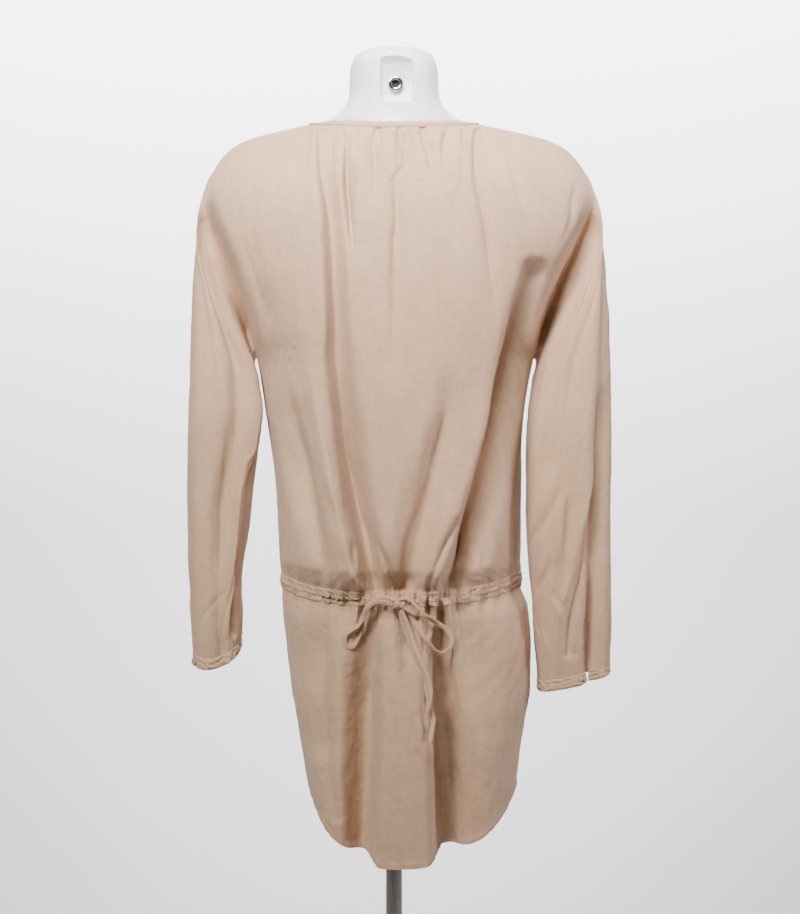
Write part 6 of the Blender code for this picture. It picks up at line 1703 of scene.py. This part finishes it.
def make_eyelet():
    """The rolled metal eyelet in the niche, with its blind hole, whose inside is painted dark as shade."""
    back = -0.051 + NICHE["depth"] - SEAM_GAP
    outer, hole, long = EYELET["outer"], EYELET["hole"] * 0.86, EYELET["length"]
    profile = [(0.0, long - 0.0042), (hole * 0.98, long - 0.0042), (hole, long - 0.0006)]
    for a in np.linspace(-0.3, math.pi * 1.02, 15):
        reach = (outer - hole) / 2
        profile.append((hole + reach - reach * math.cos(a), long - 0.0008 + 0.0012 * math.sin(a)))
    profile += [(outer, 0.0)]
    shape = bmesh.new()
    count = 48
    rings = []
    for radius, out in profile:
        if radius == 0:
            rings.append([shape.verts.new((EYELET["x"], back - out, EYELET["z"]))])
        else:
            turns = [2 * math.pi * i / count for i in range(count)]
            rings.append([shape.verts.new((EYELET["x"] + radius * math.cos(t), back - out,
                                           EYELET["z"] + radius * math.sin(t))) for t in turns])
    for a, b in zip(rings, rings[1:]):
        for i in range(count):
            j = (i + 1) % count
            loop = [a[i % len(a)], a[j % len(a)], b[j % len(b)], b[i % len(b)]]
            shape.faces.new(list(dict.fromkeys(loop)))
    shape.faces.new(rings[-1])
    bmesh.ops.recalc_face_normals(shape, faces=shape.faces)
    made = shaped("neck_eyelet_metal", shape, finish_of("chromed_brass"), 35)
    # Painted shade: the faces inside the hole take the near-black finish
    made.data.materials.append(finish_of("painted_hole_shade"))
    for face in made.data.polygons:
        middle = face.center
        from_axis = math.hypot(middle.x - EYELET["x"], middle.z - EYELET["z"])
        if from_axis < hole * 0.995 and middle.y > back - long + 0.0004:
            face.material_index = 1
    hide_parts("neck_eyelet")


def turned(name, profile, count, finish, node, angle=35):
    """A steel piece turned about the pole's axis from a profile of radius and height."""
    shape = bmesh.new()
    turns = [2 * math.pi * i / count for i in range(count)]
    rings = [[shape.verts.new((r * math.cos(t), r * math.sin(t), z)) for t in turns] for r, z in profile]
    for a, b in zip(rings, rings[1:]):
        for i in range(count):
            j = (i + 1) % count
            shape.faces.new((a[i], a[j], b[j], b[i]))
    shape.faces.new(rings[0][::-1])
    shape.faces.new(rings[-1])
    bmesh.ops.recalc_face_normals(shape, faces=shape.faces)
    made = shaped(name, shape, finish, angle)
    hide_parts(node)
    return made


def rounded_profile(corners, radius, steps=5):
    """A profile with a small round at each of its inner corners."""
    made = [corners[0]]
    for before, here, after in zip(corners, corners[1:], corners[2:]):
        a, b, c = np.array(before), np.array(here), np.array(after)
        cut = min(radius, np.linalg.norm(a - b) / 2.2, np.linalg.norm(c - b) / 2.2)
        p, q = b + unit(a - b) * cut, b + unit(c - b) * cut
        for t in np.linspace(0, 1, steps):
            made.append(tuple((1 - t) ** 2 * p + 2 * t * (1 - t) * b + t * t * q))
    return made + [corners[-1]]


def make_stand(sizes):
    """The brushed foot plate, the pole's socket and the pole."""
    radius = sizes.foot
    foot = [(0.004, 0.0), (radius, 0.0), (radius, FOOT_THICK), (0.004, FOOT_THICK)]
    turned("foot_plate_steel", rounded_profile(foot, 0.0022), 128,
           finish_of("brushed_steel_foot"), "foot_plate")
    base = FOOT_THICK + SEAM_GAP
    socket = [(0.0100, base)] + [(r, base + z) for r, z in SOCKET_PROFILE]
    socket += [(0.0100, base + SOCKET_PROFILE[-1][1])]
    turned("pole_socket_steel", rounded_profile(socket, 0.0012), 64,
           finish_of("brushed_steel_pole"), "pole_socket")
    low, high = base + SOCKET_PROFILE[-1][1] + SEAM_GAP, FORM_BOTTOM - SEAM_GAP
    pole = [(POLE_RADIUS, low)] + [(POLE_RADIUS, z) for z in np.linspace(low, high, 24)[1:]]
    turned("pole_steel", pole, 64, finish_of("brushed_steel_pole"), "pole")


def lay_stage(sizes):
    """The paper sweep, the lights and the camera."""
    line = [(-3.6, 0.0), (1.2, 0.0)]
    for t in np.linspace(0, math.pi / 2, 18)[1:]:
        line.append((1.2 + 0.9 * math.sin(t), 0.9 - 0.9 * math.cos(t)))
    line.append((2.1, 4.2))
    shape = bmesh.new()
    rows = [[shape.verts.new((x, y, z)) for y, z in line] for x in (-4.5, 4.5)]
    for i in range(len(line) - 1):
        shape.faces.new((rows[0][i], rows[1][i], rows[1][i + 1], rows[0][i + 1]))
    mesh = bpy.data.meshes.new("paper_floor")
    shape.to_mesh(mesh)
    shape.free()
    mesh.materials.append(finish_of("paper_sweep"))
    mesh.shade_smooth()
    floor = bpy.data.objects.new("paper_floor", mesh)
    bpy.context.scene.collection.objects.link(floor)
    for name, colour, place, aim, wide, high, power, beam in (
        ("left_softbox", "FFF8F0", (-0.95, -1.95, 2.60), (0.0, 0.0, 1.45), 0.7, 0.7, 36.5, 110),
        ("right_softbox", "FFF4F8", (2.30, -0.45, 1.75), (0.0, 0.0, 1.20), 0.5, 1.0, 16.0, 120),
        ("neck_lamp", "FFFFFF", (0.0, -1.10, 2.50), (0.0, 0.0, 1.54), 0.5, 0.5, 5.5, 40),
        ("left_wall_lamp", "FFFFFF", (-1.75, 0.45, 2.75), (-0.2, 2.1, 2.00), 0.5, 0.8, 92.0, 96),
        ("right_wall_lamp", "FBFAFF", (1.75, 0.45, 2.75), (0.2, 2.1, 2.00), 0.5, 0.8, 88.0, 96),
    ):
        light = bpy.data.lights.new(name, "AREA")
        light.shape, light.size, light.size_y, light.energy = "RECTANGLE", wide, high, power
        light.color, light.spread = linear(colour), math.radians(beam)
        lamp = bpy.data.objects.new(name, light)
        lamp.matrix_world = Matrix.Translation(place) @ (Vector(aim) - Vector(place)).to_track_quat(
            "-Z", "Y").to_matrix().to_4x4()
        lamp.visible_camera = False
        bpy.context.scene.collection.objects.link(lamp)
    world = bpy.data.worlds.new("studio_air")
    world.use_nodes = True
    air = world.node_tree.nodes["Background"]
    air.inputs["Color"].default_value = (*linear("F6F6FA"), 1.0)
    # The room's air lights the dress faintly, and is pale where it is seen past the sweep
    seen = add(world.node_tree, "LightPath", out="Is Camera Ray")
    add(world.node_tree, "MapRange", {1: 0.0, 2: 1.0, 3: 0.08, 4: 2.2}, {0: seen}, air.inputs["Strength"])
    bpy.context.scene.world = world
    lens = bpy.data.cameras.new("photo_view")
    lens.sensor_fit, lens.sensor_height, lens.lens = "VERTICAL", 36.0, 82.2
    lens.clip_end = 60.0
    camera = bpy.data.objects.new("photo_view", lens)
    camera.location = (0.0069, -2.4, 1.017)
    camera.rotation_euler = (math.pi / 2, 0.0, 0.0)
    bpy.context.scene.collection.objects.link(camera)
    bpy.context.scene.camera = camera


class DressSizes(bpy.types.PropertyGroup):
    """Sizes that a user would change."""
    cloth: FloatProperty(name="Cloth", description="Thickness of the voile", default=0.0009,
                         min=0.0003, max=0.002, precision=5, unit="LENGTH")
    crumple: FloatProperty(name="Crumple", description="How deep the worn cotton's soft crumpling is",
                           default=0.00045, min=0.0, max=0.002, precision=5, unit="LENGTH")
    neckband: FloatProperty(name="Neckband", description="Height of the neck binding", default=0.0066,
                            min=0.004, max=0.015, precision=4, unit="LENGTH")
    hem: FloatProperty(name="Hem", description="Depth of the turned hem", default=0.0065, min=0.004, max=0.02,
                       precision=4, unit="LENGTH")
    string: FloatProperty(name="Drawstring", description="Width of the flattened drawstring", default=0.0055,
                          min=0.003, max=0.008, precision=4, unit="LENGTH")
    stitch: FloatProperty(name="Stitch", description="Length of a stitch", default=0.0024, min=0.001,
                          max=0.004, precision=4, unit="LENGTH")
    button: FloatProperty(name="Button", description="Radius of a front button", default=0.0055, min=0.004,
                          max=0.009, precision=4, unit="LENGTH")
    foot: FloatProperty(name="Foot", description="Radius of the stand's foot plate", default=0.155, min=0.10,
                        max=0.155, precision=3, unit="LENGTH")


class DressColours(bpy.types.PropertyGroup):
    """Colours that a user would change."""
    cotton: FloatVectorProperty(name="Cotton", description="The dyed cloth", subtype="COLOR", size=3, min=0.0,
                                max=1.0, default=linear("CBA98A"))
    button: FloatVectorProperty(name="Buttons", description="Resin buttons", subtype="COLOR", size=3, min=0.0,
                                max=1.0, default=linear("B7A28C"))
    form: FloatVectorProperty(name="Form", description="Satin finish of the form", subtype="COLOR", size=3,
                              min=0.0, max=1.0, default=linear("EEEDEF"))
    eyelet: FloatVectorProperty(name="Eyelet", description="Chromed eyelet", subtype="COLOR", size=3, min=0.0,
                                max=1.0, default=linear("B9C0CB"))
    steel: FloatVectorProperty(name="Steel", description="Pole and foot plate", subtype="COLOR", size=3,
                               min=0.0, max=1.0, default=linear("B9B4AC"))
    paper: FloatVectorProperty(name="Paper", description="The paper sweep behind the form", subtype="COLOR",
                               size=3, min=0.0, max=1.0, default=linear("F0F0F3"))


class LayStage(bpy.types.Operator):
    """Lay the paper sweep, the soft lights and the camera"""
    bl_idname = "dress.lay_stage"
    bl_label = "Lay the Stage"

    def execute(self, context):
        lay_stage(context.scene.dress_sizes)
        return {"FINISHED"}


class SewBack(bpy.types.Operator):
    """Sew the gathered back bodice and the back skirt"""
    bl_idname = "dress.sew_back"
    bl_label = "Sew the Back"

    def execute(self, context):
        sew_back(context.scene.dress_sizes)
        return {"FINISHED"}


class SewFront(bpy.types.Operator):
    """Sew the two halves of the front"""
    bl_idname = "dress.sew_front"
    bl_label = "Sew the Front"

    def execute(self, context):
        sew_front(context.scene.dress_sizes)
        return {"FINISHED"}


class SewSleeves(bpy.types.Operator):
    """Sew the sleeves with their cuffs and slits"""
    bl_idname = "dress.sew_sleeves"
    bl_label = "Sew the Sleeves"

    def execute(self, context):
        sew_sleeves(context.scene.dress_sizes)
        return {"FINISHED"}


class SewBands(bpy.types.Operator):
    """Sew the neckband and the waist casing"""
    bl_idname = "dress.sew_bands"
    bl_label = "Sew the Bands"

    def execute(self, context):
        sew_neckband(context.scene.dress_sizes)
        sew_casing(context.scene.dress_sizes)
        return {"FINISHED"}


class SewPlacket(bpy.types.Operator):
    """Sew the button band and its buttons"""
    bl_idname = "dress.sew_placket"
    bl_label = "Sew the Button Band"

    def execute(self, context):
        sew_placket(context.scene.dress_sizes)
        return {"FINISHED"}


class TieBow(bpy.types.Operator):
    """Tie the drawstring's bow"""
    bl_idname = "dress.tie_bow"
    bl_label = "Tie the Bow"

    def execute(self, context):
        tie_bow(context.scene.dress_sizes)
        return {"FINISHED"}


class MakeForm(bpy.types.Operator):
    """Make the dress form with its niche and eyelet, drawn in under the cloth"""
    bl_idname = "dress.make_form"
    bl_label = "Make the Form"

    def execute(self, context):
        if "back_bodice_cloth" not in bpy.data.objects:
            raise RuntimeError("the form is drawn in under the cloth, so the cloth is sewn first")
        make_form(context.scene.dress_sizes)
        return {"FINISHED"}


class MakeStand(bpy.types.Operator):
    """Make the foot plate, the socket and the pole"""
    bl_idname = "dress.make_stand"
    bl_label = "Make the Stand"

    def execute(self, context):
        make_stand(context.scene.dress_sizes)
        return {"FINISHED"}


STEPS = (LayStage, SewBack, SewFront, SewSleeves, SewBands, SewPlacket, TieBow, MakeForm, MakeStand)


class DressPanel(bpy.types.Panel):
    """The dress's sizes, colours and steps, in the 3D view's sidebar"""
    bl_idname = "VIEW3D_PT_dress"
    bl_label = "Shirt Dress"
    bl_space_type = "VIEW_3D"
    bl_region_type = "UI"
    bl_category = "Dress"

    def draw(self, context):
        layout = self.layout
        for group in (context.scene.dress_sizes, context.scene.dress_colours):
            column = layout.column(align=True)
            for name in group.__annotations__:
                column.prop(group, name)
        column = layout.column(align=True)
        for step in STEPS:
            column.operator(step.bl_idname)


CLASSES = (DressSizes, DressColours, *STEPS, DressPanel)


def register():
    for made in CLASSES:
        bpy.utils.register_class(made)
    bpy.types.Scene.dress_sizes = PointerProperty(type=DressSizes)
    bpy.types.Scene.dress_colours = PointerProperty(type=DressColours)


def unregister():
    del bpy.types.Scene.dress_colours
    del bpy.types.Scene.dress_sizes
    for made in reversed(CLASSES):
        bpy.utils.unregister_class(made)


def main():
    register()
    for step in STEPS:
        getattr(bpy.ops.dress, step.bl_idname.split(".")[1])()


if __name__ == "__main__":
    main()
